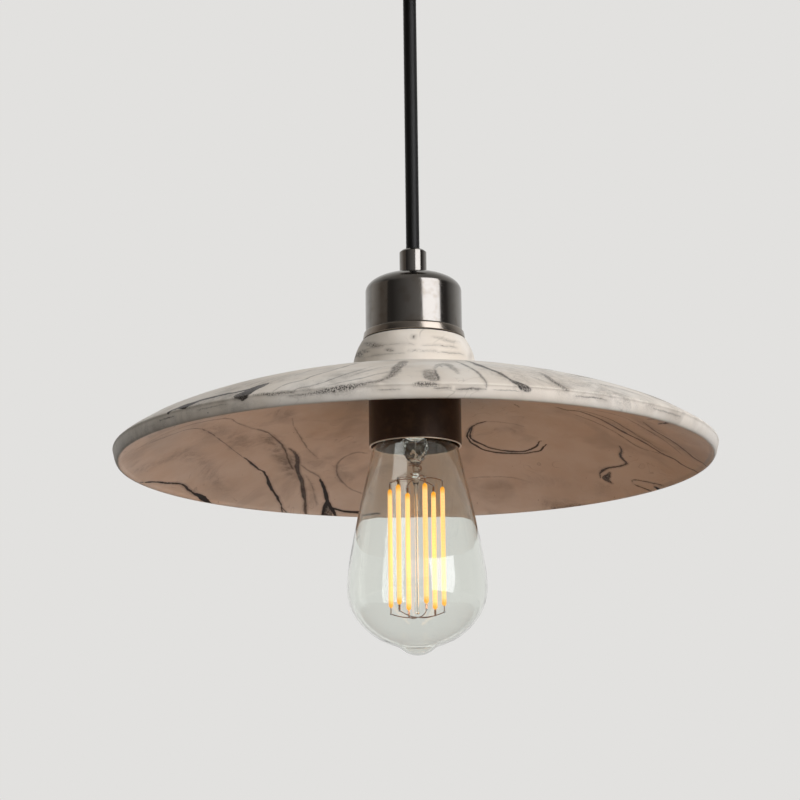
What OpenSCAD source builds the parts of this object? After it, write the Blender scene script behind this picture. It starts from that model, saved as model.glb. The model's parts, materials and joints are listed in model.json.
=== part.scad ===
// Ceramic pendant light: a marbled, shallow ceramic shade on an E27 lampholder,
// hung on a braided cable from a round metal ceiling rose, with an ST64 filament bulb.
// Millimetres, +Z up. The ceiling face is at z = 0 and the lamp hangs below it on the Z axis.

/* [Ceiling rose] */
// Outer radius of the rose cover
rose_r = 50; // [44:1:60]
// Height of the rose cover
rose_h = 28; // [26:1:36]
// Sheet thickness of the rose cover
rose_wall = 1.2; // [0.8:0.1:2]
// Radius of the rose cover's rounded edge
rose_edge_r = 8; // [4:1:10]
// Width of the bracket strap
strap_w = 20; // [18:1:24]
// Thickness of the bracket strap
strap_t = 2; // [1.5:0.25:2.5]
// How far the bracket's lugs reach down from the ceiling
lug_drop = 17; // [15:1:20]
// Width of the bracket's lugs
lug_w = 14; // [10:1:16]
// Distance between the two fixing slots
slot_spacing = 54; // [50:1:58]
// End-to-end length of a fixing slot
slot_len = 12; // [8:1:14]
// Width of a fixing slot
slot_w = 4.4; // [4:0.1:5]
// Radius of the cover's side screws
side_screw_r = 1.9; // [1.5:0.1:2.4]
// Depth of the side screws below the ceiling
side_screw_drop = 10; // [8:1:11]
// Radius of the bracket's earth screw
earth_screw_r = 1.9; // [1.5:0.1:2.2]
// Distance of the earth screw from the middle
earth_screw_x = 12.5; // [11:0.5:14]

/* [Terminal block] */
// Length of the block across its ways
block_l = 26; // [24:1:32]
// Width of the block along its ways
block_w = 18; // [16:1:20]
// Height of the block
block_h = 11; // [10:0.5:12]
// Distance from the middle of the rose to the block
block_y = 14; // [12:1:16]
// Distance between two ways
way_pitch = 8; // [7:0.5:9]
// Outer radius of the brass sleeve in each way
sleeve_r = 2.6; // [2.2:0.1:2.9]
// Inner radius of the brass sleeve
sleeve_bore_r = 1.5; // [1.3:0.1:1.7]
// Radius of the block's clamping screws
clamp_screw_r = 1.25; // [1:0.05:1.4]

/* [Cable and cord grips] */
// Free length of cable between the mouths of the two cord grips
cable_free = 136; // [80:1:1500]
// Radius of the braided cable
cable_r = 3.15; // [2.8:0.05:3.4]
// Radius of an insulated core
core_r = 1.1; // [0.9:0.05:1.2]
// Outer radius of a cord grip
grip_r = 6.35; // [6:0.05:9]
// Length of a cord grip
grip_len = 11.6; // [11:0.1:16]
// Chamfer round the mouth of a cord grip
grip_chamfer = 0.8; // [0.2:0.1:1.2]
// Depth of the thread inside a cord grip
grip_thread_len = 5.4; // [4:0.1:6]
// Flare of the grip's bore at its mouth
mouth_flare = 1; // [0.4:0.1:1.4]
// Radius of the grub screw that holds the cable
grub_r = 1.25; // [1:0.05:1.4]
// Outer radius of the hollow nipples
nipple_r = 4.95; // [4.7:0.05:5.2]
// Bore radius of the hollow nipples
nipple_bore_r = 3.5; // [3.45:0.05:3.7]
// Width across the flats of the lock nuts
nut_flats = 14; // [13:0.5:16]
// Thickness of the lock nuts
nut_t = 3; // [2:0.5:4]

/* [Holder cover] */
// Outer radius of the cup-shaped cover
cup_r = 22.5; // [22.5:0.1:24]
// Height of the cup-shaped cover
cup_h = 28; // [28:0.5:34]
// Sheet thickness of the cup-shaped cover
cup_wall = 1; // [0.6:0.1:1]
// Height of the cup's rounded shoulder
cup_shoulder = 8.7; // [8:0.1:10]
// Height of the bead ring under the cup
ring_h = 4; // [3:0.1:5]
// Greatest radius of the bead ring
ring_r = 24.1; // [23.6:0.1:25]
// Thickness of the gasket on the ceramic neck
gasket_t = 0.5; // [0.4:0.1:1]
// Outer radius of the gasket
gasket_r = 23.2; // [22.5:0.1:24]

/* [Ceramic shade] */
// Outer radius of the shade
shade_r = 138.4; // [120:0.2:180]
// Rise of the dome from its rim to the foot of the neck
dome_rise = 43; // [40:0.5:60]
// Thickness of the ceramic wall
shade_wall = 5; // [4:0.1:6]
// Width of the rounded lip
lip_w = 6; // [5:0.1:8]
// Height of the rounded lip
lip_h = 8.4; // [7:0.1:10]
// Slope of the dome beside the neck, in degrees
crown_slope = 14; // [8:1:18]
// Reach of the flat crown of the dome
crown_reach = 37; // [25:1:45]
// Slope of the dome at its edge, in degrees
fall_slope = 32; // [26:1:40]
// Reach of the falling edge of the dome
fall_reach = 33; // [20:1:40]
// Height of the neck above the dome
neck_h = 15.7; // [14:0.1:20]
// Radius of the flat top of the neck
neck_top_r = 24.3; // [24:0.1:25]
// Radius of the neck at its foot
neck_foot_r = 29; // [28:0.1:32]
// Thickness of the plate that closes the neck
neck_plate_t = 5; // [4:0.1:6]

/* [Lampholder] */
// Outer radius of the lampholder's cap
cap_r = 21.3; // [21:0.1:21.3]
// Height of the lampholder's cap
cap_h = 28.3; // [27:0.1:29]
// Thickness of the cap's wall
cap_wall = 0.8; // [0.6:0.1:0.9]
// Radius of the cap's rounded shoulder
cap_shoulder = 7; // [6:0.5:8]
// Thickness of the cap's top
cap_top_t = 1.2; // [1:0.1:1.5]
// Outer radius of the skirt
skirt_r = 21.35; // [21:0.05:21.6]
// Length of the skirt below the ceramic neck
skirt_h = 44; // [38:0.5:46]
// Wall of the skirt
skirt_wall = 0.85; // [0.6:0.05:1]
// Outer radius of the thread on top of the skirt
thread_r = 19.6; // [19.5:0.05:19.7]
// Length of the thread on top of the skirt
thread_h = 11.3; // [10.5:0.1:13]
// Thickness of the thread's tube
thread_wall = 0.8; // [0.6:0.05:0.8]
// Thickness of the washer under the ceramic neck
washer_t = 1; // [0.5:0.1:1.5]
// Outer radius of the porcelain insert
insert_r = 18.5; // [18:0.05:18.6]
// Depth of the porcelain insert below its flange
insert_depth = 33; // [30:0.5:35]
// Thickness of the porcelain flange
flange_t = 3; // [2:0.1:4]
// Inner radius of the screw shell at its crests
shell_r = 13.35; // [13.3:0.05:13.5]
// Length of the screw shell
shell_len = 20; // [16:0.5:20]
// Thickness of the brass sheet in the contacts
brass_t = 0.6; // [0.4:0.05:0.8]
// Width of the contact strips
strip_w = 5; // [4:0.5:6]
// Height of the terminals on the insert
terminal_h = 6; // [5:0.5:7]
// Distance of the terminals from the axis
terminal_x = 10.5; // [10:0.5:11]
// Height of the bulb's contact above the washer's lower face
contact_rise = 2.8; // [2:0.1:3]

/* [Bulb] */
// Greatest radius of the glass
bulb_r = 32; // [28:0.5:34]
// Overall length of the bulb
bulb_len = 142.8; // [138:0.2:150]
// Thickness of the glass
glass_t = 0.8; // [0.6:0.1:1]
// Radius of the screw cap's thread crests
bulb_cap_r = 13.15; // [13.05:0.05:13.15]
// Height of the screw cap with its contact
bulb_cap_h = 27; // [26:0.1:28]
// Distance from the bulb's cap down to the filaments' upper ends
filament_drop = 36.5; // [33:0.5:40]
// Distance from the filaments' lower ends to the bulb's tip
filament_tip_gap = 19.3; // [16:0.1:24]
// Radius of a filament
filament_r = 0.95; // [0.6:0.05:1.2]
// Radius of the circle on which the filaments stand
filament_circle_r = 12.3; // [9:0.1:14]
// Angle of the first filament from the front
filament_start = 19; // [0:1:59]
// Radius of the support wires
wire_r = 0.35; // [0.25:0.05:0.5]

/* [Clearances] */
// Radial clearance of a screw or a nipple in its hole
screw_gap = 0.1; // [0.05:0.05:0.2]
// Radial clearance between parts that slide over each other
slip_gap = 0.15; // [0.1:0.05:0.2]
// Radial clearance round the thread in the ceramic
ceramic_gap = 0.7; // [0.5:0.1:0.9]
// Gap between the cable's round end and the cable held in a grip
bend_gap = 0.3; // [0.2:0.05:0.5]

/* [Hidden] */

$fn = 96;
cut = 0.5; // how far a cutting shape runs past the face that it opens

// Heights, from the ceiling down to the rim and on to the bulb's tip
z_rose = -rose_h;
z_mouth_up = z_rose - grip_len;
z_mouth_low = z_mouth_up - cable_free;
z_cup_top = z_mouth_low - grip_len;
z_ring_top = z_cup_top - cup_h;
z_gasket_top = z_ring_top - ring_h;
z_neck_top = z_gasket_top - gasket_t;
z_plate = z_neck_top - neck_plate_t;
z_shoulder = z_plate - washer_t;
z_skirt_low = z_shoulder - skirt_h;
z_neck_foot = z_neck_top - neck_h;
z_rim = z_neck_foot - dome_rise;
z_thread_top = z_shoulder + thread_h;
z_insert_top = z_thread_top + flange_t;
z_insert_low = z_thread_top - insert_depth;
z_cap_top = z_gasket_top + cap_h;
z_cap_under = z_cap_top - cap_top_t;
z_contact = z_shoulder + contact_rise;
z_bulb_cap_low = z_contact - bulb_cap_h;
z_bulb_tip = z_contact - bulb_len;

// Width and depth of the slots in small and large screws
slot_small = 0.4;
slot_large = 0.8;

// Ceiling rose
rose_in_r = rose_r - rose_wall;
lug_t = strap_t;
lug_gap = 0.3;
lug_x = sqrt(pow(rose_in_r, 2) - pow(lug_w / 2, 2)) - lug_gap;
side_head_r = side_screw_r + 1.6;
side_head_t = 2.2;
earth_head_r = earth_screw_r + 1.6;
earth_head_t = 2.4;
rose_washer_t = 1;
rose_washer_r = 9;
z_rose_nut = z_rose + rose_wall + rose_washer_t;
nipple_stand = 1.5;
z_rose_nipple_top = z_rose_nut + nut_t + nipple_stand;
cable_stand = 1.5;
z_jacket_up = z_rose_nipple_top + cable_stand;
tab_margin = 2;
z_way = -strap_t - block_h / 2;
way_xs = [-way_pitch, 0, way_pitch];
way_screw_ys = [block_y + block_w / 4, block_y + block_w * 3 / 4];

// Cord grips and nipples
thread_end_gap = 0.2;
nipple_reach = grip_thread_len - thread_end_gap;
grip_bore_r = cable_r + slip_gap;
flare_len = 1.5;
grub_z = grip_thread_len + grub_r + thread_end_gap;
grub_sink = 0.1;
z_cap_nut = z_cap_under - nut_t;
z_holder_nipple_low = z_cap_nut - nipple_stand;
z_jacket_low = z_holder_nipple_low - cable_stand;

// Straight stretch of a core at each of its ends
straight = 1;

// Steps along the free cable, and the angles of the rings that round off its ends
cable_steps = 8;
end_rings = [84, 55, 28];

// Cup: where its shoulder runs into the flat under the grip
cup_pull = 5;
cup_crown = 1.3;
cup_flat_r = grip_r + 0.65;

// Lampholder
cap_thread_in_r = thread_r + screw_gap;
cap_in_r = cap_r - cap_wall;
insert_flange_r = cap_in_r - slip_gap;
shell_wave = 0.45;
shell_pitch = 3.63;
shell_t = 0.4;
shell_out_r = shell_r + 2 * shell_wave + shell_t;
socket_r = shell_out_r + slip_gap;
well_r = 9.4;
well_h = 3;
z_floor = z_contact + well_h;
z_socket_top = z_insert_low + shell_len + 0.5;
shell_flange_in_r = 10.5;
side_strip_x = 12.2;
centre_strip_x = 8.2;
slot_gap = 0.25;
terminal_l = 7;
terminal_w = 8;
wire_bore_r = core_r + slip_gap;
wire_y = -2;
screw_y = 2.2;
m3_r = 1.4;
m3_head_r = 2.6;
m3_head_t = 1.8;
clamp_head_r = clamp_screw_r + 0.7;
clamp_head_t = 1.2;
screw_in_insert = 6;
earth_l = 6;
earth_w = 5.5;
earth_y = sqrt(pow(cap_r - cap_shoulder, 2) - pow(earth_l / 2, 2)) - earth_w / 2 - slip_gap;

// Shade: the ellipse of the lip, and the point where the dome runs into it
lip_c = [shade_r - lip_w / 2, z_rim + lip_h / 2];
lip_join = atan(lip_h / lip_w / tan(fall_slope));
dome_end = lip_c + [lip_w / 2 * cos(lip_join), lip_h / 2 * sin(lip_join)];
dome_start = [neck_foot_r, z_neck_foot];
crown_dir = [cos(crown_slope), -sin(crown_slope)];
fall_dir = [cos(fall_slope), -sin(fall_slope)];
crown_in = shade_wall * [sin(crown_slope), cos(crown_slope)];
fall_in = shade_wall * [sin(fall_slope), cos(fall_slope)];
lip_inner = 165;
neck_bore_r = thread_r + ceramic_gap;
neck_in_r = skirt_r + 1.3;
washer_r = skirt_r + 0.9;

// Bulb
filament_count = 6;
cap_wave = 0.45;
cap_t = 0.35;
bulb_thread_h = 19;
insulator_h = 3;
contact_r = 4.8;
contact_t = 1;
cap_neck_r = 7;
glass_neck_r = bulb_cap_r - 2 * cap_wave - cap_t - 0.1;
glass_tuck = 4;
shoulder_r = 17.3;
shoulder_drop = 8.5;
shoulder_pull = 14;
belly_drop = 27.8;
belly_pull = 15.5;
pip_r = 8.5;
pip_h = 3;
z_belly = z_bulb_tip + belly_drop + pip_h;
stem_r = 5.6;
flare_r = glass_neck_r - glass_t - 0.15;
z_flare = z_bulb_cap_low + 1;
press_top = 16;
press_end = 25;
press_w = 9.6;
press_t = 3.2;
rod_r = 1.6;
hub_bulge_r = rod_r * 1.25;
z_filament_top = z_bulb_cap_low - filament_drop;
z_filament_low = z_bulb_tip + filament_tip_gap;
filament_len = z_filament_top - z_filament_low;
z_rod_low = z_filament_top - 0.5;
tab_len = 2.5;
tab_w = 1;
tab_t = 0.3;
lead_x = 3;
hub_r = 0.9;
insulator_plug = 0.6;
board_w = 16;
board_l = 13;
board_t = 1;
z_board = z_contact - contact_t - insulator_h - insulator_plug - board_l;
capacitor_r = 3.2;
capacitor_h = 6;
chip = [4.5, 2, 4];
resistor = [3, 1.4, 2];
star_dip = 2;

// Colours as the photograph shows them
c_nickel = [0.55, 0.53, 0.50];
c_ceramic = [0.86, 0.82, 0.75];
c_bronze = [0.20, 0.15, 0.12];
c_brass = [0.80, 0.62, 0.32];
c_steel = [0.68, 0.68, 0.68];
c_cable = [0.06, 0.06, 0.06];
c_black = [0.10, 0.10, 0.10];
c_porcelain = [0.93, 0.92, 0.88];
c_glass = [0.75, 0.82, 0.78, 0.35];
c_glow = [1.00, 0.82, 0.45];
c_cream = [0.95, 0.94, 0.90];

// Points of a curve with four control points
function curve(a, b, c, d, n = 12) = [
    for (i = [0 : n])
        let (t = i / n, u = 1 - t)
        u * u * u * a + 3 * u * u * t * b + 3 * u * t * t * c + t * t * t * d
];

// Points of an arc of an ellipse about c, with half axes a and b
function arc(c, a, b, from, to, n = 12) = [
    for (i = [0 : n])
        let (w = from + (to - from) * i / n)
        c + [a * cos(w), b * sin(w)]
];

// All but the first of a list of points
function rest_of(p) = [for (i = [1 : len(p) - 1]) p[i]];

// The same points in the other order
function reversed(p) = [for (i = [len(p) - 1 : -1 : 0]) p[i]];

function unit(v) = v / norm(v);

// Direction of a route at point i
function heading(p, i) = unit(p[min(i + 1, len(p) - 1)] - p[max(i - 1, 0)]);

// One ring of a tube: centre p, direction d, radius r
function tube_ring(p, d, r, sides, side_dir) =
    let (a = unit(cross(d, side_dir)), b = cross(d, a))
    [for (k = [0 : sides - 1]) p + r * (cos(360 * k / sides) * a + sin(360 * k / sides) * b)];

// A tube swept along a route, whose radius is given at each point
module tube(route, radii, sides, side_dir = [0, 1, 0]) {
    n = len(route);
    points = [
        for (i = [0 : n - 1])
            for (q = tube_ring(route[i], heading(route, i), radii[i], sides, side_dir)) q
    ];
    walls = [
        for (i = [0 : n - 2])
            for (k = [0 : sides - 1])
                let (a = i * sides + k, b = i * sides + (k + 1) % sides)
                for (f = [[a, a + sides, b], [b, a + sides, b + sides]]) f
    ];
    first = [for (k = [0 : sides - 1]) k];
    last = [for (k = [sides - 1 : -1 : 0]) (n - 1) * sides + k];
    polyhedron(points = points, faces = concat(walls, [first, last]), convexity = 4);
}

// A plain ring that stands on z
module ring(outer, inner, low, high) {
    translate([0, 0, low])
        difference() {
            cylinder(r = outer, h = high - low);
            translate([0, 0, -cut])
                cylinder(r = inner, h = high - low + 2 * cut);
        }
}

// A solid of revolution from points given as [radius, height]
module turned(points) {
    rotate_extrude()
        polygon(points);
}

// A cylinder along X that starts at p
module rod_x(p, r, length) {
    translate(p)
        rotate([0, 90, 0])
            cylinder(r = r, h = length, $fn = 32);
}

// A cylinder along Y that starts at p
module rod_y(p, r, length) {
    translate(p)
        rotate([-90, 0, 0])
            cylinder(r = r, h = length, $fn = 32);
}

// A round pin from p up by length
module pin(p, r, length) {
    translate(p)
        cylinder(r = r, h = length, $fn = 32);
}

// A block centred on x and y that stands on z
module block(size, p) {
    translate([p[0] - size[0] / 2, p[1] - size[1] / 2, p[2]])
        cube(size);
}

// A hexagon nut on the nipple thread
module lock_nut(low) {
    translate([0, 0, low])
        difference() {
            cylinder(r = nut_flats / 2 / cos(30), h = nut_t, $fn = 6);
            translate([0, 0, -cut])
                cylinder(r = nipple_r + screw_gap, h = nut_t + 2 * cut);
        }
}

// A straight wire between two points
module wire(a, b, r) {
    d = b - a;
    translate(a)
        rotate([0, acos(d[2] / norm(d)), atan2(d[1], d[0])])
            cylinder(r = r, h = norm(d), $fn = 16);
}

// Cord grip with its thread at z = 0 and its mouth up at z = grip_len
module grip_body() {
    difference() {
        turned([
            [0, 0],
            [grip_r, 0],
            [grip_r, grip_len - grip_chamfer],
            [grip_r - grip_chamfer, grip_len],
            [0, grip_len]
        ]);
        translate([0, 0, -cut])
            cylinder(r = nipple_r + screw_gap, h = grip_thread_len + cut);
        cylinder(r = grip_bore_r, h = grip_len + cut);
        turned([
            [0, grip_len - flare_len],
            [grip_bore_r, grip_len - flare_len],
            [grip_bore_r + mouth_flare, grip_len],
            [grip_bore_r + mouth_flare, grip_len + cut],
            [0, grip_len + cut]
        ]);
        rod_y([0, 0, grub_z], grub_r + screw_gap / 2, grip_r + cut);
    }
}

// Grub screw of a cord grip, behind the cable, with a slot in its outer end
module grub() {
    grub_len = grip_r - cable_r - grub_sink;
    difference() {
        rod_y([0, cable_r, grub_z], grub_r, grub_len);
        block([grub_r * 3, 2 * slot_large, slot_small],
              [0, cable_r + grub_len, grub_z - slot_small / 2]);
    }
}

// Hollow nipple between two heights
module nipple(low, high) {
    ring(nipple_r, nipple_bore_r, low, high);
}

/* Ceiling rose */

module ceiling_bracket() {
    color(c_steel)
        difference() {
            union() {
                intersection() {
                    block([2 * lug_x, strap_w, strap_t], [0, 0, -strap_t]);
                    translate([0, 0, -strap_t])
                        cylinder(r = rose_in_r - lug_gap, h = strap_t);
                }
                for (s = [-1, 1])
                    block([lug_t, lug_w, lug_drop], [s * (lug_x - lug_t / 2), 0, -lug_drop]);
                block([block_l, block_y + block_w + tab_margin, strap_t],
                      [0, (block_y + block_w + tab_margin) / 2, -strap_t]);
            }
            for (s = [-1, 1]) {
                translate([s * slot_spacing / 2, 0, -strap_t - cut])
                    linear_extrude(strap_t + 2 * cut)
                        union() {
                            square([slot_len - slot_w, slot_w], center = true);
                            for (e = [-1, 1])
                                translate([e * (slot_len - slot_w) / 2, 0])
                                    circle(r = slot_w / 2, $fn = 48);
                        }
                rod_x([s * (lug_x - lug_t / 2) - lug_t, 0, -side_screw_drop],
                      side_screw_r + screw_gap, 2 * lug_t);
            }
            pin([earth_screw_x, 0, -strap_t - cut], earth_screw_r + screw_gap, strap_t + 2 * cut);
        }
}

module rose_cover() {
    color(c_nickel)
        difference() {
            turned(concat(
                [[0, z_rose]],
                arc([rose_r - rose_edge_r, z_rose + rose_edge_r], rose_edge_r, rose_edge_r, -90, 0),
                [[rose_r, 0], [rose_in_r, 0]],
                arc([rose_r - rose_edge_r, z_rose + rose_edge_r],
                    rose_edge_r - rose_wall, rose_edge_r - rose_wall, 0, -90),
                [[0, z_rose + rose_wall]]
            ));
            pin([0, 0, z_rose - cut], nipple_r + screw_gap, rose_wall + 2 * cut);
            rod_x([-rose_r - cut, 0, -side_screw_drop], side_screw_r + 2 * screw_gap,
                  2 * rose_r + 2 * cut);
        }
}

module rose_side_screws() {
    color(c_nickel)
        for (s = [0, 180])
            rotate([0, 0, s])
                difference() {
                    union() {
                        rod_x([lug_x - lug_t, 0, -side_screw_drop], side_screw_r,
                              rose_r - lug_x + lug_t + side_head_t / 2);
                        rod_x([rose_r, 0, -side_screw_drop], side_head_r, side_head_t);
                    }
                    block([2 * slot_large, side_head_r * 3, slot_large],
                          [rose_r + side_head_t, 0, -side_screw_drop - slot_large / 2]);
                }
}

module rose_nipple() {
    color(c_brass)
        nipple(z_rose - nipple_reach, z_rose_nipple_top);
}

module rose_lock_nut() {
    color(c_steel)
        lock_nut(z_rose_nut);
}

module rose_washer() {
    color(c_steel)
        ring(rose_washer_r, nipple_r + screw_gap, z_rose + rose_wall, z_rose_nut);
}

module rose_cord_grip() {
    color(c_nickel)
        translate([0, 0, z_rose])
            rotate([180, 0, 180])
                grip_body();
}

module rose_grip_screw() {
    color(c_steel)
        translate([0, 0, z_rose])
            rotate([180, 0, 180])
                grub();
}

module terminal_block() {
    color(c_cream)
        difference() {
            block([block_l, block_w, block_h],
                  [0, block_y + block_w / 2, -strap_t - block_h]);
            for (x = way_xs) {
                rod_y([x, block_y - cut, z_way], sleeve_r + screw_gap / 2, block_w + 2 * cut);
                for (y = way_screw_ys)
                    pin([x, y, -strap_t - block_h - cut], clamp_screw_r + 2 * screw_gap,
                        block_h / 2 + cut);
            }
        }
}

module terminal_sleeves() {
    color(c_brass)
        for (x = way_xs)
            difference() {
                rod_y([x, block_y, z_way], sleeve_r, block_w);
                rod_y([x, block_y - cut, z_way], sleeve_bore_r, block_w + 2 * cut);
                for (y = way_screw_ys)
                    pin([x, y, z_way - sleeve_r - cut], clamp_screw_r + screw_gap / 2,
                        sleeve_r + cut);
            }
}

module terminal_screws() {
    screw_top = z_way - core_r;
    screw_low = -strap_t - block_h;
    color(c_steel)
        for (x = way_xs)
            for (y = way_screw_ys)
                difference() {
                    pin([x, y, screw_low], clamp_screw_r, screw_top - screw_low);
                    block([slot_small, clamp_screw_r * 3, 2 * slot_small],
                          [x, y, screw_low - slot_small]);
                }
}

module earth_screw() {
    color(c_brass)
        difference() {
            union() {
                pin([earth_screw_x, 0, -strap_t], earth_screw_r, strap_t);
                pin([earth_screw_x, 0, -strap_t - earth_head_t], earth_head_r, earth_head_t);
            }
            block([slot_large, earth_head_r * 3, 2 * slot_small],
                  [earth_screw_x, 0, -strap_t - earth_head_t - slot_small]);
        }
}

// A core in the rose, from the end of the jacket into way number i of the block
module rose_core(i) {
    lay = 1.3;
    from = [lay * cos(210 - 120 * i), lay * sin(210 - 120 * i), z_jacket_up];
    to = [way_xs[i], way_screw_ys[0] + 2, z_way];
    entry = [way_xs[i], block_y - straight, z_way];
    start = from + [0, 0, straight];
    route = concat([from], curve(start, start + [0, 0, 7], entry - [0, 8, 0], entry, 14), [to]);
    tube(route, [for (p = route) core_r], 8, [1, 0, 0]);
}

module rose_core_live() {
    color([0.35, 0.18, 0.10])
        rose_core(0);
}

module rose_core_neutral() {
    color([0.10, 0.25, 0.60])
        rose_core(1);
}

module rose_core_earth() {
    color([0.30, 0.55, 0.15])
        rose_core(2);
}

module cable_end_upper() {
    low = z_mouth_up + cable_r + bend_gap;
    color(c_cable)
        pin([0, 0, low], cable_r, z_jacket_up - low);
}

/* Free cable between the two grips: round ends sit in the mouths, so that it can swing */

cable_route = concat(
    [for (a = end_rings) [0, 0, z_mouth_up + cable_r * sin(a)]],
    [for (i = [0 : cable_steps]) [0, 0, z_mouth_up - cable_free * i / cable_steps]],
    [for (a = reversed(end_rings)) [0, 0, z_mouth_low - cable_r * sin(a)]]
);
cable_radii = concat(
    [for (a = end_rings) cable_r * cos(a)],
    [for (i = [0 : cable_steps]) cable_r],
    [for (a = reversed(end_rings)) cable_r * cos(a)]
);

module cable() {
    color(c_cable)
        tube(cable_route, cable_radii, 12);
}

/* Lamp: grip, cover and shade */

module cord_grip() {
    color(c_nickel)
        translate([0, 0, z_cup_top])
            grip_body();
}

module grip_screw() {
    color(c_steel)
        translate([0, 0, z_cup_top])
            grub();
}

module holder_nipple() {
    color(c_brass)
        nipple(z_holder_nipple_low, z_cup_top + nipple_reach);
}

module nipple_lock_nut() {
    color(c_steel)
        lock_nut(z_cap_nut);
}

// Shoulder of the cup, drawn in by its wall for the inside
function cup_line(wall) = curve(
    [cup_r - wall, z_cup_top - cup_shoulder - wall],
    [cup_r - wall, z_cup_top - cup_shoulder * 0.53 - wall],
    [cup_r - cup_pull - wall, z_cup_top - cup_crown - wall],
    [cup_flat_r, z_cup_top - wall]
);

module cup_cover() {
    color(c_nickel)
        difference() {
            turned(concat(
                [[cup_r - cup_wall, z_ring_top], [cup_r, z_ring_top]],
                cup_line(0),
                [[0, z_cup_top], [0, z_cup_top - cup_wall]],
                reversed(cup_line(cup_wall))
            ));
            pin([0, 0, z_cup_top - cup_wall - cut], nipple_r + 2 * screw_gap, cup_wall + 2 * cut);
        }
}

module cover_ring() {
    inner = cap_r + slip_gap;
    flare_top = cup_r + 0.2;
    nose = ring_h * 0.36;
    color(c_nickel)
        turned(concat(
            [[inner, z_gasket_top], [ring_r - nose * 0.5, z_gasket_top]],
            arc([ring_r - nose * 0.5, z_gasket_top + nose * 0.7],
                nose * 0.5, nose * 0.7, -90, 40, 8),
            rest_of(curve(
                [ring_r - nose * 0.12, z_gasket_top + nose * 1.15],
                [ring_r - nose * 0.5, z_gasket_top + nose * 1.6],
                [flare_top, z_ring_top - ring_h * 0.35],
                [flare_top, z_ring_top - 0.3], 8)),
            [[flare_top - 0.3, z_ring_top], [inner, z_ring_top]]
        ));
}

module neck_gasket() {
    color(c_black)
        ring(gasket_r, thread_r + slip_gap, z_neck_top, z_gasket_top);
}

module ceramic_shade() {
    neck = curve(
        [neck_top_r, z_neck_top],
        [neck_top_r + (neck_foot_r - neck_top_r) * 0.72, z_neck_top - neck_h * 0.36],
        [neck_foot_r - 0.7, z_neck_foot + neck_h * 0.45],
        dome_start);
    dome = curve(
        dome_start,
        dome_start + crown_reach * crown_dir,
        dome_end - fall_reach * fall_dir,
        dome_end, 22);
    lip = arc(lip_c, lip_w / 2, lip_h / 2, lip_join, lip_inner - 360, 18);
    inside = curve(
        lip[len(lip) - 1],
        dome_end - fall_reach * fall_dir - fall_in,
        dome_start + crown_reach * crown_dir - crown_in,
        dome_start - crown_in, 22);
    throat = curve(
        dome_start - crown_in,
        dome_start - crown_in - [2.6, -0.6],
        [neck_in_r, z_neck_foot - shade_wall * 0.4],
        [neck_in_r, z_neck_foot + 2], 6);
    color(c_ceramic)
        turned(concat(
            [[neck_bore_r, z_neck_top]],
            neck,
            rest_of(dome),
            rest_of(lip),
            rest_of(inside),
            rest_of(throat),
            [[neck_in_r, z_plate], [neck_bore_r, z_plate]]
        ));
}

/* Lampholder */

module holder_cap() {
    bend = cap_shoulder - cap_wall;
    shoulder_c = [cap_r - cap_shoulder, z_cap_top - cap_shoulder];
    color(c_bronze)
        difference() {
            turned(concat(
                [[cap_thread_in_r, z_gasket_top], [cap_r, z_gasket_top]],
                arc(shoulder_c, cap_shoulder, cap_shoulder, 0, 90, 10),
                [[0, z_cap_top], [0, z_cap_under]],
                arc([shoulder_c[0], z_cap_under - bend], bend, bend, 90, 0, 10),
                [[cap_in_r, z_thread_top], [cap_thread_in_r, z_thread_top]]
            ));
            pin([0, 0, z_cap_under - cut], nipple_r + screw_gap, cap_top_t + 2 * cut);
        }
}

module holder_skirt() {
    color(c_bronze)
        turned([
            [skirt_r - skirt_wall, z_skirt_low + 0.4],
            [skirt_r - skirt_wall * 0.6, z_skirt_low],
            [skirt_r - skirt_wall * 0.4, z_skirt_low],
            [skirt_r, z_skirt_low + 0.4],
            [skirt_r, z_shoulder],
            [thread_r, z_shoulder],
            [thread_r, z_thread_top],
            [thread_r - thread_wall, z_thread_top],
            [thread_r - thread_wall, z_shoulder - skirt_wall],
            [skirt_r - skirt_wall, z_shoulder - skirt_wall]
        ]);
}

module shade_washer() {
    color([0.55, 0.33, 0.22])
        ring(washer_r, thread_r + slip_gap, z_shoulder, z_plate);
}

module porcelain_insert() {
    plate_h = z_insert_top - z_floor;
    color(c_porcelain)
        difference() {
            turned([
                [0, z_insert_low],
                [insert_r, z_insert_low],
                [insert_r, z_thread_top],
                [insert_flange_r, z_thread_top],
                [insert_flange_r, z_insert_top],
                [0, z_insert_top]
            ]);
            translate([0, 0, z_insert_low - cut])
                cylinder(r = socket_r, h = z_socket_top - z_insert_low + cut);
            translate([0, 0, z_socket_top - cut])
                cylinder(r = well_r, h = z_floor - z_socket_top + cut);
            block([brass_t + 2 * slot_gap, strip_w + 2 * slot_gap, z_insert_top - z_socket_top + 2 * cut],
                  [side_strip_x + brass_t / 2, 0, z_socket_top - cut]);
            block([brass_t + 2 * slot_gap, strip_w + 2 * slot_gap, plate_h + 2 * cut],
                  [-centre_strip_x - brass_t / 2, 0, z_floor - cut]);
            for (s = [-1, 1])
                pin([s * terminal_x, screw_y, z_insert_top - screw_in_insert], m3_r + screw_gap,
                    screw_in_insert + cut);
        }
}

module screw_shell() {
    turns = 40;
    low = z_socket_top - shell_len;
    wave = [
        for (i = [0 : turns])
            let (z = low + (shell_len - shell_t) * i / turns)
            [shell_r + shell_wave - shell_wave * cos(360 * (z - low) / shell_pitch), z]
    ];
    color(c_brass)
        turned(concat(
            wave,
            [[shell_flange_in_r, z_socket_top - shell_t], [shell_flange_in_r, z_socket_top]],
            [[shell_out_r, z_socket_top]],
            [for (p = reversed(wave)) p + [shell_t, 0]]
        ));
}

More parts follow.
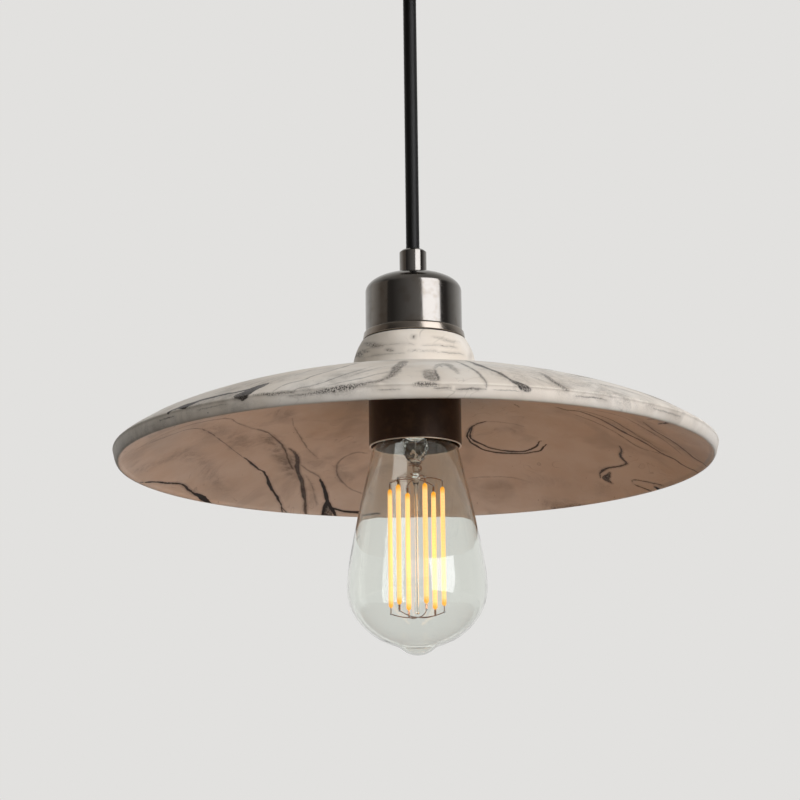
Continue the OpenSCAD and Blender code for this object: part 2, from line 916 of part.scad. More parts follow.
// Strip from the screw shell up to the neutral terminal
module side_contact() {
    color(c_brass)
        block([brass_t, strip_w, z_insert_top - z_socket_top],
              [side_strip_x + brass_t / 2, 0, z_socket_top]);
}

// Leaf that presses on the bulb's contact, and its strip up to the live terminal
module centre_contact() {
    leaf = [
        [-centre_strip_x - brass_t, z_insert_top],
        [-centre_strip_x - brass_t, z_floor - brass_t],
        [1.5, z_floor - brass_t],
        [-3.6, z_contact + 0.4],
        [-3.6, z_contact],
        [3.4, z_contact],
        [3.4, z_contact + brass_t],
        [0.6, z_contact + brass_t],
        [3.4, z_floor - brass_t],
        [3.4, z_floor],
        [-centre_strip_x, z_floor],
        [-centre_strip_x, z_insert_top]
    ];
    color(c_brass)
        translate([0, strip_w / 2, 0])
            rotate([90, 0, 0])
                linear_extrude(strip_w)
                    polygon(leaf);
}

// Brass terminal on the insert, on side s, with its wire bore and two screw holes
module terminal(s) {
    difference() {
        block([terminal_l, terminal_w, terminal_h], [s * terminal_x, 0, z_insert_top]);
        pin([s * terminal_x, wire_y, z_insert_top + 1], wire_bore_r, terminal_h);
        pin([s * terminal_x, screw_y, z_insert_top - cut], m3_r + screw_gap,
            terminal_h + 2 * cut);
        rotate([0, 0, s > 0 ? 0 : 180])
            rod_x([terminal_x, s * wire_y, z_insert_top + terminal_h / 2],
                  clamp_screw_r + screw_gap / 2, terminal_l);
    }
}

module live_terminal() {
    color(c_brass)
        terminal(-1);
}

module neutral_terminal() {
    color(c_brass)
        terminal(1);
}

// Screws that hold the two terminals on the porcelain
module insert_screws() {
    top = z_insert_top + terminal_h;
    low = z_insert_top - screw_in_insert + 0.5;
    color(c_steel)
        for (s = [-1, 1])
            difference() {
                union() {
                    pin([s * terminal_x, screw_y, low], m3_r, top - low);
                    pin([s * terminal_x, screw_y, top], m3_head_r, m3_head_t);
                }
                block([slot_large, m3_head_r * 3, 2 * slot_large],
                      [s * terminal_x, screw_y, top + m3_head_t - slot_large]);
            }
}

// Screws that clamp the three cores in the lampholder
module clamp_screws() {
    mid = z_insert_top + terminal_h / 2;
    earth_mid = z_cap_under - terminal_h / 2;
    color(c_steel) {
        for (s = [0, 180])
            rotate([0, 0, s])
                union() {
                    rod_x([terminal_x + core_r, wire_y * cos(s), mid], clamp_screw_r,
                          terminal_l / 2 - core_r);
                    rod_x([terminal_x + terminal_l / 2, wire_y * cos(s), mid],
                          clamp_head_r, clamp_head_t);
                }
        union() {
            rod_x([core_r, earth_y, earth_mid], clamp_screw_r, earth_l / 2 - core_r);
            rod_x([earth_l / 2, earth_y, earth_mid], clamp_head_r, clamp_head_t);
        }
    }
}

// Brass earth block under the top of the lampholder's cap
module earth_terminal() {
    color(c_brass)
        difference() {
            block([earth_l, earth_w, terminal_h], [0, earth_y, z_cap_under - terminal_h]);
            pin([0, earth_y, z_cap_under - terminal_h - cut], wire_bore_r, terminal_h - 1 + cut);
            rod_x([0, earth_y, z_cap_under - terminal_h / 2], clamp_screw_r + screw_gap / 2,
                  earth_l / 2 + cut);
        }
}

// A core in the lampholder, from the end of the jacket down into a terminal
module holder_core(s) {
    from = [s * 1.3, -0.7, z_jacket_low];
    start = from - [0, 0, straight];
    to = [s * terminal_x, wire_y, z_insert_top + 1.5];
    entry = [s * terminal_x, wire_y, z_insert_top + terminal_h + 0.4];
    route = concat([from], curve(start, start - [0, 0, 3.5], entry + [0, 0, 4], entry), [to]);
    tube(route, [for (p = route) core_r], 8);
}

module holder_core_live() {
    color([0.35, 0.18, 0.10])
        holder_core(-1);
}

module holder_core_neutral() {
    color([0.10, 0.25, 0.60])
        holder_core(1);
}

module holder_core_earth() {
    from = [0, 1.6, z_jacket_low];
    start = from - [0, 0, straight];
    to = [0, earth_y, z_cap_under - 2];
    entry = [0, earth_y, z_cap_under - terminal_h - 0.4];
    route = concat([from], curve(start, start - [0, 0, 6.5], entry - [0, 0, 6.5], entry), [to]);
    color([0.30, 0.55, 0.15])
        tube(route, [for (p = route) core_r], 8, [1, 0, 0]);
}

module cable_end_lower() {
    color(c_cable)
        pin([0, 0, z_jacket_low], cable_r, z_mouth_low - cable_r - bend_gap - z_jacket_low);
}

/* Bulb */

// Outline of the glass, drawn in by its thickness for the inside
function glass_line(t) = concat(
    [[glass_neck_r - t, z_bulb_cap_low + glass_tuck]],
    curve(
        [glass_neck_r - t, z_bulb_cap_low],
        [glass_neck_r + 0.2 - t, z_bulb_cap_low - shoulder_drop * 0.41],
        [shoulder_r - 1.3 - t, z_bulb_cap_low - shoulder_drop * 0.47],
        [shoulder_r - t, z_bulb_cap_low - shoulder_drop], 8),
    rest_of(curve(
        [shoulder_r - t, z_bulb_cap_low - shoulder_drop],
        [shoulder_r + 2.3 - t, z_bulb_cap_low - shoulder_drop - shoulder_pull],
        [bulb_r - t, z_belly + belly_pull],
        [bulb_r - t, z_belly], 18)),
    rest_of(arc([0, z_belly], bulb_r - t, belly_drop - t, 0, -acos(pip_r / (bulb_r - t)), 16))
);

module bulb_glass() {
    pip = curve(
        [pip_r, z_belly - belly_drop * sin(acos(pip_r / bulb_r))],
        [pip_r * 0.62, z_bulb_tip + 3.2],
        [pip_r * 0.62, z_bulb_tip],
        [0, z_bulb_tip], 8);
    inner = glass_line(glass_t);
    color(c_glass)
        turned(concat(
            glass_line(0),
            rest_of(pip),
            [[0, z_belly - belly_drop + glass_t]],
            reversed(inner)
        ));
}

module bulb_cap() {
    steps = 40;
    low = z_bulb_cap_low + 2;
    wave = [
        for (i = [0 : steps])
            let (z = low + bulb_thread_h * i / steps)
            [bulb_cap_r - cap_wave + cap_wave * cos(360 * (z - low) / shell_pitch + 180), z]
    ];
    top = z_contact - contact_t - insulator_h;
    color([0.85, 0.84, 0.82])
        turned(concat(
            [[bulb_cap_r - cap_wave - cap_t, z_bulb_cap_low], [bulb_cap_r - cap_wave, z_bulb_cap_low]],
            wave,
            [[cap_neck_r + 0.4, top], [cap_neck_r + 0.4 - cap_t, top]],
            [for (p = reversed(wave)) p - [cap_t, 0]]
        ));
}

module cap_insulator() {
    top = z_contact - contact_t;
    low = top - insulator_h;
    color(c_black)
        turned([
            [0, low - insulator_plug],
            [cap_neck_r - 0.4, low - insulator_plug],
            [cap_neck_r, low],
            [cap_neck_r + 0.4, low],
            [contact_r + 0.6, top],
            [0, top]
        ]);
}

module bulb_contact() {
    color(c_brass)
        turned([
            [0, z_contact - contact_t],
            [contact_r, z_contact - contact_t],
            [contact_r - 0.4, z_contact],
            [0, z_contact]
        ]);
}

module driver_board() {
    color([0.15, 0.35, 0.18])
        block([board_w, board_t, board_l], [0, 0, z_board]);
}

module driver_parts() {
    color(c_black) {
        translate([0, board_t / 2, z_board + 5])
            rotate([-90, 0, 0])
                cylinder(r = capacitor_r, h = capacitor_h, $fn = 48);
        block(chip, [-3, -(board_t + chip[1]) / 2, z_board + 6]);
        block(resistor, [4, -(board_t + resistor[1]) / 2, z_board + 7]);
    }
}

// Glass mount: flare, flattened press and solid rod
module stem_glass() {
    color(c_glass)
        union() {
            turned(concat(
                [[flare_r - glass_t, z_flare + 1], [flare_r, z_flare + 1]],
                curve(
                    [flare_r, z_flare],
                    [flare_r - 1, z_flare - 6],
                    [stem_r, z_flare - 6],
                    [stem_r, z_flare - press_top], 10),
                [[0, z_flare - press_top - 1], [0, z_flare - press_top + 1.5]],
                curve(
                    [stem_r - glass_t, z_flare - press_top + 2],
                    [stem_r - glass_t, z_flare - 6],
                    [flare_r - 1 - glass_t, z_flare - 6],
                    [flare_r - glass_t, z_flare], 10)
            ));
            translate([0, 0, z_flare - press_end])
                linear_extrude(press_end - press_top)
                    square([press_w, press_t], center = true);
            turned([
                [0, z_rod_low],
                [rod_r * 0.7, z_rod_low],
                [hub_bulge_r, z_rod_low + 1.2],
                [hub_bulge_r, z_rod_low + 2.6],
                [rod_r * 0.8, z_rod_low + 4],
                [rod_r, z_flare - press_end - 2],
                [rod_r * 1.5, z_flare - press_end],
                [0, z_flare - press_end + 1]
            ]);
        }
}

function around(k) = filament_start - 90 + 360 / filament_count * k;
function on_circle(k, r, z) = [r * cos(around(k)), r * sin(around(k)), z];

// Leads from the board down through the press
module lead_wires() {
    color(c_steel)
        for (s = [-1, 1])
            wire([s * lead_x, 0, z_flare - press_top + 1.9], [s * lead_x, 0, z_board], wire_r);
}

// Wires that carry the filaments from the rod
module upper_wires() {
    hub_z = z_rod_low + 1.9;
    color(c_brass)
        for (k = [0 : filament_count - 1])
            wire(on_circle(k, hub_bulge_r + 0.1, hub_z),
                 on_circle(k, filament_circle_r - wire_r, z_filament_top), wire_r);
}

// Star of wires that joins the filaments at their lower ends
module lower_star() {
    color(c_brass)
        union() {
            translate([0, 0, z_filament_low - star_dip])
                sphere(r = hub_r, $fn = 32);
            for (k = [0 : filament_count - 1])
                wire([0, 0, z_filament_low - star_dip],
                     on_circle(k, filament_circle_r - tab_t, z_filament_low + 0.4), wire_r);
        }
}

// Filament number k: a coated rod with a metal tab at each end
module filament(k) {
    core_low = z_filament_low + tab_len;
    core_len = filament_len - 2 * tab_len;
    color(c_glow)
        translate(on_circle(k, filament_circle_r, 0))
            rotate([0, 0, around(k)])
                union() {
                    pin([0, 0, core_low], filament_r, core_len);
                    block([tab_t, tab_w, filament_len], [0, 0, z_filament_low]);
                }
}

ceiling_bracket();
rose_cover();
rose_side_screws();
rose_nipple();
rose_lock_nut();
rose_washer();
rose_cord_grip();
rose_grip_screw();
terminal_block();
terminal_sleeves();
terminal_screws();
earth_screw();
rose_core_live();
rose_core_neutral();
rose_core_earth();
cable_end_upper();
cable();
cord_grip();
grip_screw();
holder_nipple();
nipple_lock_nut();
cup_cover();
cover_ring();
neck_gasket();
ceramic_shade();
holder_cap();
holder_skirt();
shade_washer();
porcelain_insert();
screw_shell();
side_contact();
centre_contact();
live_terminal();
neutral_terminal();
insert_screws();
clamp_screws();
earth_terminal();
holder_core_live();
holder_core_neutral();
holder_core_earth();
cable_end_lower();
bulb_glass();
bulb_cap();
cap_insulator();
bulb_contact();
driver_board();
driver_parts();
stem_glass();
lead_wires();
upper_wires();
lower_star();
filament(0);  // filament_1
filament(1);  // filament_2
filament(2);  // filament_3
filament(3);  // filament_4
filament(4);  // filament_5
filament(5);  // filament_6
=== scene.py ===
# %% [markdown]
# A ceramic pendant light: a wide, shallow shade of marbled clay hangs on a black braided
# cable, with a nickel cup over its neck and a clear filament bulb under it.
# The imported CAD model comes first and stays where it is. Every piece made below sits in its
# frame, in metres, with the ceiling at z = 0, and moves with one of its bodies.

# %% Load the frame
import json
import math
import random

import bmesh
import bpy
import numpy as np
from mathutils import Matrix, Vector


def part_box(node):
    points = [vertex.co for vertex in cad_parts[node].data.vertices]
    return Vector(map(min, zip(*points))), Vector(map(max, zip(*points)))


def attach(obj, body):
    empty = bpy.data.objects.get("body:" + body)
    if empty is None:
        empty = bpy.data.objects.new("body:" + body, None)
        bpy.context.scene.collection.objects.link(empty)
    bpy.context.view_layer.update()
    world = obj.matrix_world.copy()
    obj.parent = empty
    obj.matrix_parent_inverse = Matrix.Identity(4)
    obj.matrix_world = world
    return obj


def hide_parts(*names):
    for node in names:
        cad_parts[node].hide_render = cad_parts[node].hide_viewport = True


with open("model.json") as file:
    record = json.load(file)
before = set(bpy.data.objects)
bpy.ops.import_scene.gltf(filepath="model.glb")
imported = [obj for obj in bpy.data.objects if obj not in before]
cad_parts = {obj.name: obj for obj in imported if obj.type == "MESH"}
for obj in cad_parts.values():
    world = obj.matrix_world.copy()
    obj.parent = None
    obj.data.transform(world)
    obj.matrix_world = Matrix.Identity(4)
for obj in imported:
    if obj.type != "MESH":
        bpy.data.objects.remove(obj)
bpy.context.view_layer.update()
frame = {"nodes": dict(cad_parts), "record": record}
scene = bpy.context.scene
MM = 0.001

# %% [markdown]
# The camera stands about a metre in front of the lamp and half a metre under the ceiling,
# and looks up by 13 degrees, so the hollow of the shade shows under its near edge. A long
# lens keeps the rim's ellipse flat. The small turn and roll put the lamp right of the
# middle and lean it by two thirds of a degree, as in the photograph.

# %% Camera
camera_data = bpy.data.cameras.new("view")
camera_data.lens = 99.8
camera_data.sensor_width = 36
camera = bpy.data.objects.new("view", camera_data)
scene.collection.objects.link(camera)
scene.camera = camera
camera_place = Vector((0, -1.0, -0.4804))
look_up, turn_left, roll = (math.radians(a) for a in (13.12, 0.393, -0.67))
camera.matrix_world = (
    Matrix.Translation(camera_place)
    @ Matrix.Rotation(turn_left, 4, "Z")
    @ Matrix.Rotation(math.radians(90) + look_up, 4, "X")
    @ Matrix.Rotation(roll, 4, "Z")
)
scene.view_settings.view_transform = "Standard"
print("camera at", tuple(camera_place), "lens", camera_data.lens)

# %% [markdown]
# Levels could be typed in by hand, but they are read from the CAD nodes, so a piece starts
# and ends exactly where its solid does. Outlines below are written in millimetres, as pairs
# of radius and height.

# %% Levels of the frame
def low_of(node):
    """Lowest height of a CAD node, in mm."""
    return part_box(node)[0].z / MM


def high_of(node):
    """Greatest height of a CAD node, in mm."""
    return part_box(node)[1].z / MM


rim = low_of("ceramic_shade")
neck_top = high_of("ceramic_shade")
cup_top = high_of("cup_cover")
print("rim", round(rim, 2), "neck top", round(neck_top, 2), "cup top", round(cup_top, 2))

# %% [markdown]
# Most pieces here are meshes made from rings of points. Curves with a bevel, or modifiers on
# a simple form, could make some of them, but points let every ring have its own size and
# bend. One helper makes the mesh, turns its faces outwards, smooths it, and says which body
# carries it, which finish it takes and which CAD nodes it stands for.

# %% Pieces from points
dressed = []


def new_piece(name, points, faces, slot, body, replaced=(), sharp=35):
    """A mesh piece from points in mm, smooth but for edges sharper than sharp degrees."""
    mesh = bpy.data.meshes.new(name)
    mesh.from_pydata((np.asarray(points, float) * MM).tolist(), [], faces)
    shell = bmesh.new()
    shell.from_mesh(mesh)
    if shell.calc_volume(signed=True) < 0:
        mesh.flip_normals()
    shell.free()
    mesh.shade_smooth()
    mesh.set_sharp_from_angle(angle=math.radians(sharp))
    piece = bpy.data.objects.new(name, mesh)
    scene.collection.objects.link(piece)
    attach(piece, body)
    if replaced:
        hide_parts(*replaced)
    dressed.append((piece, slot))
    print(name, len(mesh.vertices), "points,", len(mesh.polygons), "faces")
    return piece


def ring_faces(rings, around, closed=False):
    """Quads between neighbouring rings of points, and from last to first if closed."""
    faces = []
    for i in range(rings if closed else rings - 1):
        a, b = i * around, (i + 1) % rings * around
        for k in range(around):
            after = (k + 1) % around
            faces.append((a + k, a + after, b + after, b + k))
    return faces


def tube_faces(rings, around):
    """Faces of a tube of rings of points, with a cap on both ends."""
    last = (rings - 1) * around
    caps = [tuple(range(around))[::-1], tuple(range(last, last + around))]
    return ring_faces(rings, around) + caps


# %% [markdown]
# The cable is round flex in a black textile braid. Sixteen threads wind one way round it and
# sixteen the other way, each passing over two and under two. A bump texture would give this
# cheaply, but here the threads are real relief in the mesh, so they also show at the outline.
# The lamp pulls the cable straight. Its ends round off inside the mouths of the two grips,
# where it bends when the lamp swings. The braid's pitch is about 1.25 mm, as on the real one.

# %% Cable
cable_r = 3.15
mouth_high = high_of("cable") - cable_r
mouth_low = low_of("cable") + cable_r
round_end = 0.995 * cable_r
braid_threads, braid_pitch, braid_relief, relief_mean = 16, 1.25, 0.3, 0.85
cable_around, cable_step = 96, 0.24


def braid_height(turn, along):
    """Relief of the braid, 0 to 1. turn runs from 0 to 1 round the cable, and along is in mm."""
    a = turn * braid_threads + along / braid_pitch
    b = turn * braid_threads - along / braid_pitch
    first_on_top = (np.floor(a) - np.floor(b)) % 4 < 2
    across = np.where(first_on_top, a, b) % 1 * 2 - 1
    run = np.where(first_on_top, b, a) % 2 - 1
    return np.sqrt(1 - 0.9 * across**2) * (1 - 0.35 * np.abs(run) ** 3)


rows = np.arange(mouth_low - round_end, mouth_high + round_end, cable_step)
past_mouth = np.clip(np.maximum(rows - mouth_high, mouth_low - rows), 0, cable_r)
row_r = np.sqrt(cable_r**2 - past_mouth**2)
turn = np.arange(cable_around) / cable_around
relief = braid_height(turn[None, :], rows[:, None])
radius = row_r[:, None] * (1 + (relief - relief_mean) * braid_relief / cable_r)
way_round = 2 * np.pi * turn
level = np.repeat(rows[:, None], cable_around, axis=1)
cable_points = np.stack([radius * np.cos(way_round), radius * np.sin(way_round), level], axis=2)
cable = new_piece(
    "braided_cable", cable_points.reshape(-1, 3), tube_faces(len(rows), cable_around),
    "black_braid", "cord", ["cable"], sharp=180,
)

# %% [markdown]
# Most visible pieces are turned: cup, ring, skirt, shade, bulb. A Screw modifier could spin
# their outlines, but points made in code can also carry wobble and the veins' data. Small
# helpers draw the outlines: a cubic curve, an arc of an ellipse, and one that rounds off the
# sharp corners, because every real edge catches a thin line of light.

# %% Outlines and turning
def angles(count):
    """Equal steps once round a circle, in radians."""
    return 2 * np.pi * np.arange(count) / count


def directions(path):
    """Unit direction of a path at each of its points."""
    way = np.gradient(np.array(path, float), axis=0)
    return way / np.linalg.norm(way, axis=1)[:, None]


def curve(a, b, c, d, steps=24):
    """Points of a cubic curve with four control points."""
    t = np.linspace(0, 1, steps + 1)[:, None]
    a, b, c, d = (np.array(p, float) for p in (a, b, c, d))
    points = (1 - t) ** 3 * a + 3 * (1 - t) ** 2 * t * b + 3 * (1 - t) * t**2 * c + t**3 * d
    return [tuple(p) for p in points]


def arc(centre, half_x, half_z, start, end, steps=16):
    """Points of an arc of an ellipse, between two angles in degrees."""
    w = np.radians(np.linspace(start, end, steps + 1))
    return [(centre[0] + half_x * math.cos(v), centre[1] + half_z * math.sin(v)) for v in w]


def soften(outline, radius, steps=4, closed=True, corner=25):
    """The outline with each corner of more than corner degrees rounded off."""
    p = [np.array(q, float) for q in outline]
    soft = []
    for i, q in enumerate(p):
        before, after = p[i - 1] - q, p[(i + 1) % len(p)] - q
        la, lb = np.linalg.norm(before), np.linalg.norm(after)
        bend = 0
        if (closed or 0 < i < len(p) - 1) and min(la, lb) >= 1e-6:
            bend = math.degrees(math.acos(np.clip(-before @ after / la / lb, -1, 1)))
        if bend < corner:
            soft.append(tuple(q))
            continue
        back = min(radius, 0.45 * la, 0.45 * lb)
        u, v = q + before / la * back, q + after / lb * back
        for t in np.linspace(0, 1, steps + 1):
            soft.append(tuple((1 - t) ** 2 * u + 2 * t * (1 - t) * q + t**2 * v))
    return soft


def divide(outline, step):
    """The closed outline with points added, so that none of its edges is longer than step."""
    fine = []
    for a, b in zip(outline, outline[1:] + outline[:1]):
        n = max(1, math.ceil(math.dist(a, b) / step))
        fine += [tuple(np.array(a) + (np.array(b) - np.array(a)) * k / n) for k in range(n)]
    return fine


def turned(name, outline, slot, body, replaced, around=192):
    """A ring-shaped solid of revolution from a closed outline in mm."""
    points = [(r * math.cos(a), r * math.sin(a), z) for r, z in outline for a in angles(around)]
    faces = ring_faces(len(outline), around, closed=True)
    return new_piece(name, points, faces, slot, body, replaced)


# %% [markdown]
# A cup of thin nickel-plated brass covers the lampholder's cap and hides its screws. It is
# spun from sheet, so its wall is 1 mm and its shoulder is one soft curve. A cylinder with a
# bevel could stand for it, but its round shoulder is no circle, so it is turned from a curve
# that is drawn once and used for both sides of the wall.

# %% Cup cover
cup_r, cup_wall, cup_hole_r, cup_flat_r = 22.5, 1.0, 5.15, 7.0
cup_low = low_of("cup_cover")


def cup_line(wall):
    """The cup's shoulder, drawn in by wall."""
    top, side = cup_top - wall, cup_r - wall
    return curve((side, top - 8.7), (side, top - 4.61), (17.5 - wall, top - 1.3), (cup_flat_r, top))


cup_outline = soften(
    [(cup_r - cup_wall, cup_low), (cup_r, cup_low)] + cup_line(0)
    + [(cup_hole_r, cup_top), (cup_hole_r, cup_top - cup_wall)] + cup_line(cup_wall)[::-1],
    0.25,
)
turned("nickel_cup", cup_outline, "antiqued_nickel", "lamp", ["cup_cover"])

# %% [markdown]
# The bead ring stands out from the cup by a millimetre and closes the joint with the clay.
# A torus would be too round for it. It is turned from bar: a band that flares downwards,
# with a narrow bevel on top, which is the light line under the cup, and a round lower edge.

# %% Bead ring
ring_low, ring_high = low_of("cover_ring"), high_of("cover_ring")
ring_in_r, ring_r, ring_edge = 21.45, 23.2, 0.6
ring_outline = soften(
    [(ring_in_r, ring_low), (ring_r, ring_low)]
    + arc((ring_r, ring_low + ring_edge), ring_edge, ring_edge, -85, 0, 8)
    + [(23.35, ring_high - ring_edge), (22.75, ring_high), (ring_in_r, ring_high)],
    0.15,
)
turned("bead_ring", ring_outline, "antiqued_nickel", "lamp", ["cover_ring"])

# %% [markdown]
# The ceiling rose is a drawn sheet cover with a rounded edge. Its two side screws stay CAD
# nodes, and their heads hide the holes, so the cover can be turned without holes, which
# keeps its reflections clean.

# %% Rose cover
rose_r, rose_wall, rose_edge, rose_hole_r = 50.0, 1.2, 8.0, 5.05
rose_low = low_of("rose_cover")
rose_c = (rose_r - rose_edge, rose_low + rose_edge)
rose_outline = soften(
    [(rose_hole_r, rose_low)] + arc(rose_c, rose_edge, rose_edge, -90, 0)
    + [(rose_r, 0.0), (rose_r - rose_wall, 0.0)]
    + arc(rose_c, rose_edge - rose_wall, rose_edge - rose_wall, 0, -90)
    + [(rose_hole_r, rose_low + rose_wall)],
    0.3,
)
turned("rose_shell", rose_outline, "antiqued_nickel", "ceiling", ["rose_cover"])

# %% [markdown]
# The lampholder's skirt is a drawn tube in dark bronze lacquer. It screws up into the cap
# from below and holds the shade by its plate. The CAD node has the right form, but its edges
# are sharp and catch no light. So it is turned again, with a lower rim that is rolled to a
# fine round edge, which shows as a thin light line in the photograph. Its finish adds a
# painted highlight on that rim.

# %% Holder skirt
skirt_r, skirt_wall, thread_r, thread_wall = 21.35, 0.85, 19.6, 0.8
skirt_low, skirt_high = low_of("holder_skirt"), high_of("holder_skirt")
shoulder = skirt_low + 44
skirt_in_r, thread_in_r = skirt_r - skirt_wall, thread_r - thread_wall
shoulder_in = shoulder - skirt_wall
skirt_outline = soften(
    [
        (skirt_in_r, skirt_low), (skirt_r, skirt_low), (skirt_r, shoulder), (thread_r, shoulder),
        (thread_r, skirt_high), (thread_in_r, skirt_high),
        (thread_in_r, shoulder_in), (skirt_in_r, shoulder_in),
    ],
    0.38,
)
turned("bronze_skirt", skirt_outline, "bronzed_metal", "lamp", ["holder_skirt"])

# %% [markdown]
# The bulb's glass is blown in a mould: a narrow neck in the cap, straight shoulders that
# swell to 64 mm, and a small pip where the gas was let in and sealed. A single skin would
# bend the light as a solid lens does, so it is a true double wall, 0.8 mm apart, and the
# glass darkens at its edges by itself. Its shadow is off, because a lamp's light goes
# straight through such thin glass, which the renderer could only find with much noise.

# %% Bulb glass
bulb_r, glass_t, glass_neck_r, tuck = 32.0, 0.8, 11.8, 4.0
tip = low_of("bulb_glass")
cap_low = high_of("bulb_glass") - tuck
belly = tip + 30.8
belly_drop, pip_r = 27.8, 10.5
axis_r = 0.05
throat_end = (17.3, cap_low - 8.5)
pip_angle = -math.acos(pip_r / bulb_r)
pip_start = np.array([pip_r, belly + belly_drop * math.sin(pip_angle)])
inward = np.array([math.sin(pip_angle), -math.cos(pip_angle)])
glass_line = [
    (glass_neck_r, cap_low + tuck),
    *curve((glass_neck_r, cap_low), (12.0, cap_low - 3.5), (16.0, cap_low - 4.0), throat_end),
    *curve(throat_end, (19.6, cap_low - 22.5), (bulb_r, belly + 15.5), (bulb_r, belly), 48)[1:],
    *arc((0, belly), bulb_r, belly_drop, 0, math.degrees(pip_angle), 32)[1:],
    *curve(pip_start, pip_start + 4.3 * inward, (5.4, tip), (axis_r, tip), 20)[1:],
]
way = directions(glass_line)
inner_glass = np.array(glass_line) + glass_t * np.column_stack([way[:, 1], -way[:, 0]])
glass_outline = glass_line + [(max(r, axis_r), z) for r, z in inner_glass[::-1]]
bulb = turned("blown_glass", glass_outline, "clear_glass", "bulb", ["bulb_glass"])
bulb.visible_shadow = False

# %% [markdown]
# The glass mount carries everything inside the bulb. It starts as a flared tube in the
# bulb's neck, is pinched flat where the leads pass through it, and goes on as a rod to the
# lower star. It could be a plain turned rod, but the folds of the pinch are what glitters
# in the mouth of the lampholder, so each ring of points is squeezed and ruffled there.

# %% Glass mount
flare = high_of("stem_glass") - 1
hub = low_of("stem_glass") + 1.9
star = low_of("lower_star") + 0.9
mount_around = 64


def mount_ring(z, half_x, half_y, ruffle=0.0):
    """One ring of the mount's surface, squeezed to two half widths."""
    ring = []
    for a in angles(mount_around):
        swell = 1 + ruffle * (math.sin(5 * a + 0.9 * z) + 0.6 * math.sin(9 * a - 1.7 * z))
        ring.append((half_x * swell * math.cos(a), half_y * swell * math.sin(a), z))
    return ring


def round_rings(a, b, c, d, steps, ruffle=0.0):
    """Levels of round rings along a curve of (radius, height) points."""
    return [(z, r, r, ruffle) for r, z in curve(a, b, c, d, steps)]


outer_levels = [
    (flare + 1, 10.85, 10.85, 0), (flare, 10.8, 10.8, 0),
    *round_rings((10.8, flare), (9.8, flare - 6), (5.6, flare - 6), (5.6, flare - 14), 14)[1:],
    # The pinch: squeezed in one direction over 6 mm, then flat and ruffled for 7 mm.
    *((flare - 14 - k, 5.6 - 0.05 * k, 5.6 - 3.9 * math.sin(k / 6 * math.pi / 2), 0.02 * k)
      for k in range(1, 7)),
    *((flare - 20 - k, 5.3 - 0.012 * k**2.6, 1.7, 0.10) for k in np.arange(0.5, 7.5, 0.5)),
    # The rod, with a knob where the upper wires are set in it.
    *round_rings((2.6, flare - 28), (1.5, flare - 29), (1.3, flare - 30), (1.3, hub + 3), 8, 0.04),
    *round_rings((1.3, hub + 3), (1.3, hub + 1.8), (1.95, hub + 1.4), (1.95, hub), 6)[1:],
    *round_rings((1.95, hub), (1.95, hub - 1.4), (0.9, hub - 1.6), (0.9, hub - 4), 6)[1:],
    *((z, 0.9, 0.9, 0) for z in np.linspace(hub - 8, star + 3, 12)),
    (star + 2.2, 1.2, 1.2, 0), (star + 1.6, 0.9, 0.9, 0), (star + 1.3, axis_r, axis_r, 0),
]
inner_levels = [
    (flare - 18, axis_r, axis_r, 0), (flare - 17.8, 1.6, 0.7, 0),
    (flare - 16.5, 4.2, 2.2, 0), (flare - 14, 4.8, 4.8, 0),
    *round_rings((4.8, flare - 14), (4.8, flare - 6), (9.0, flare - 6), (10.0, flare), 14)[1:],
    (flare + 1, 10.05, 10.05, 0),
]
mount_points = [p for level in outer_levels + inner_levels for p in mount_ring(*level)]
mount = new_piece(
    "glass_mount", mount_points, ring_faces(len(outer_levels + inner_levels), mount_around, True),
    "clear_glass", "bulb", ["stem_glass"], sharp=180,
)
mount.visible_shadow = False

# %% [markdown]
# Two supply wires leave the pinch, wind loosely round the rod and end at the upper wires.
# A curve with a round bevel could draw them, but a mesh is easier to join and to export, so
# a small function lays a round tube of points along any path.

# %% Wound supply wires
def tube(path, radius, around=8):
    """Points and faces of a round tube along a path, closed at both ends."""
    way = directions(path)
    side = np.cross(way, (0.31, 0.11, 0.94))
    side /= np.linalg.norm(side, axis=1)[:, None]
    points = [
        tuple(p + radius * (math.cos(a) * u + math.sin(a) * v))
        for p, u, v in zip(np.array(path, float), side, np.cross(way, side))
        for a in angles(around)
    ]
    return points, tube_faces(len(path), around)


for k in range(2):
    t = np.linspace(0, 1, 90)
    angle = math.pi * k + 2 * math.pi * (1.8 + 0.5 * k) * t
    out = 3.4 - 1.3 * t + 0.5 * np.sin(11 * t + 2 * k)
    height = flare - 26 + (hub + 1.5 - flare + 26) * (t + 0.05 * np.sin(9 * t))
    path = np.stack([out * np.cos(angle), 0.8 * out * np.sin(angle), height], axis=1)
    new_piece(f"supply_wire_{k + 1}", *tube(path, 0.2), "copper_wire", "bulb", sharp=180)

# %% [markdown]
# Six thin wires spread from the mount to the filaments' upper ends, and six more join their
# lower ends. One wire copied six times would look stamped. The real ones are bent by hand
# and spot-welded, so a seeded draw makes each a little different, and each weld is a small
# bright bead.

# %% Stars of wires and their welds
def joined(parts):
    """Points and faces of several closed meshes as one."""
    points, faces = [], []
    for more_points, more_faces in parts:
        faces += [tuple(i + len(points) for i in face) for face in more_faces]
        points += more_points
    return points, faces


first_angle, filament_count, filament_circle = 19 - 90, 6, 12.3
top_end, low_end = high_of("filament_1"), low_of("filament_1")
wire_r, wire_reach, bead_r, bead_rows, bead_around = 0.22, 12.4, 0.5, 9, 10


def spoke(k):
    """The outward and the sideways direction at filament k."""
    a = math.radians(first_angle + 360 / filament_count * k)
    return np.array([math.cos(a), math.sin(a), 0]), np.array([-math.sin(a), math.cos(a), 0])


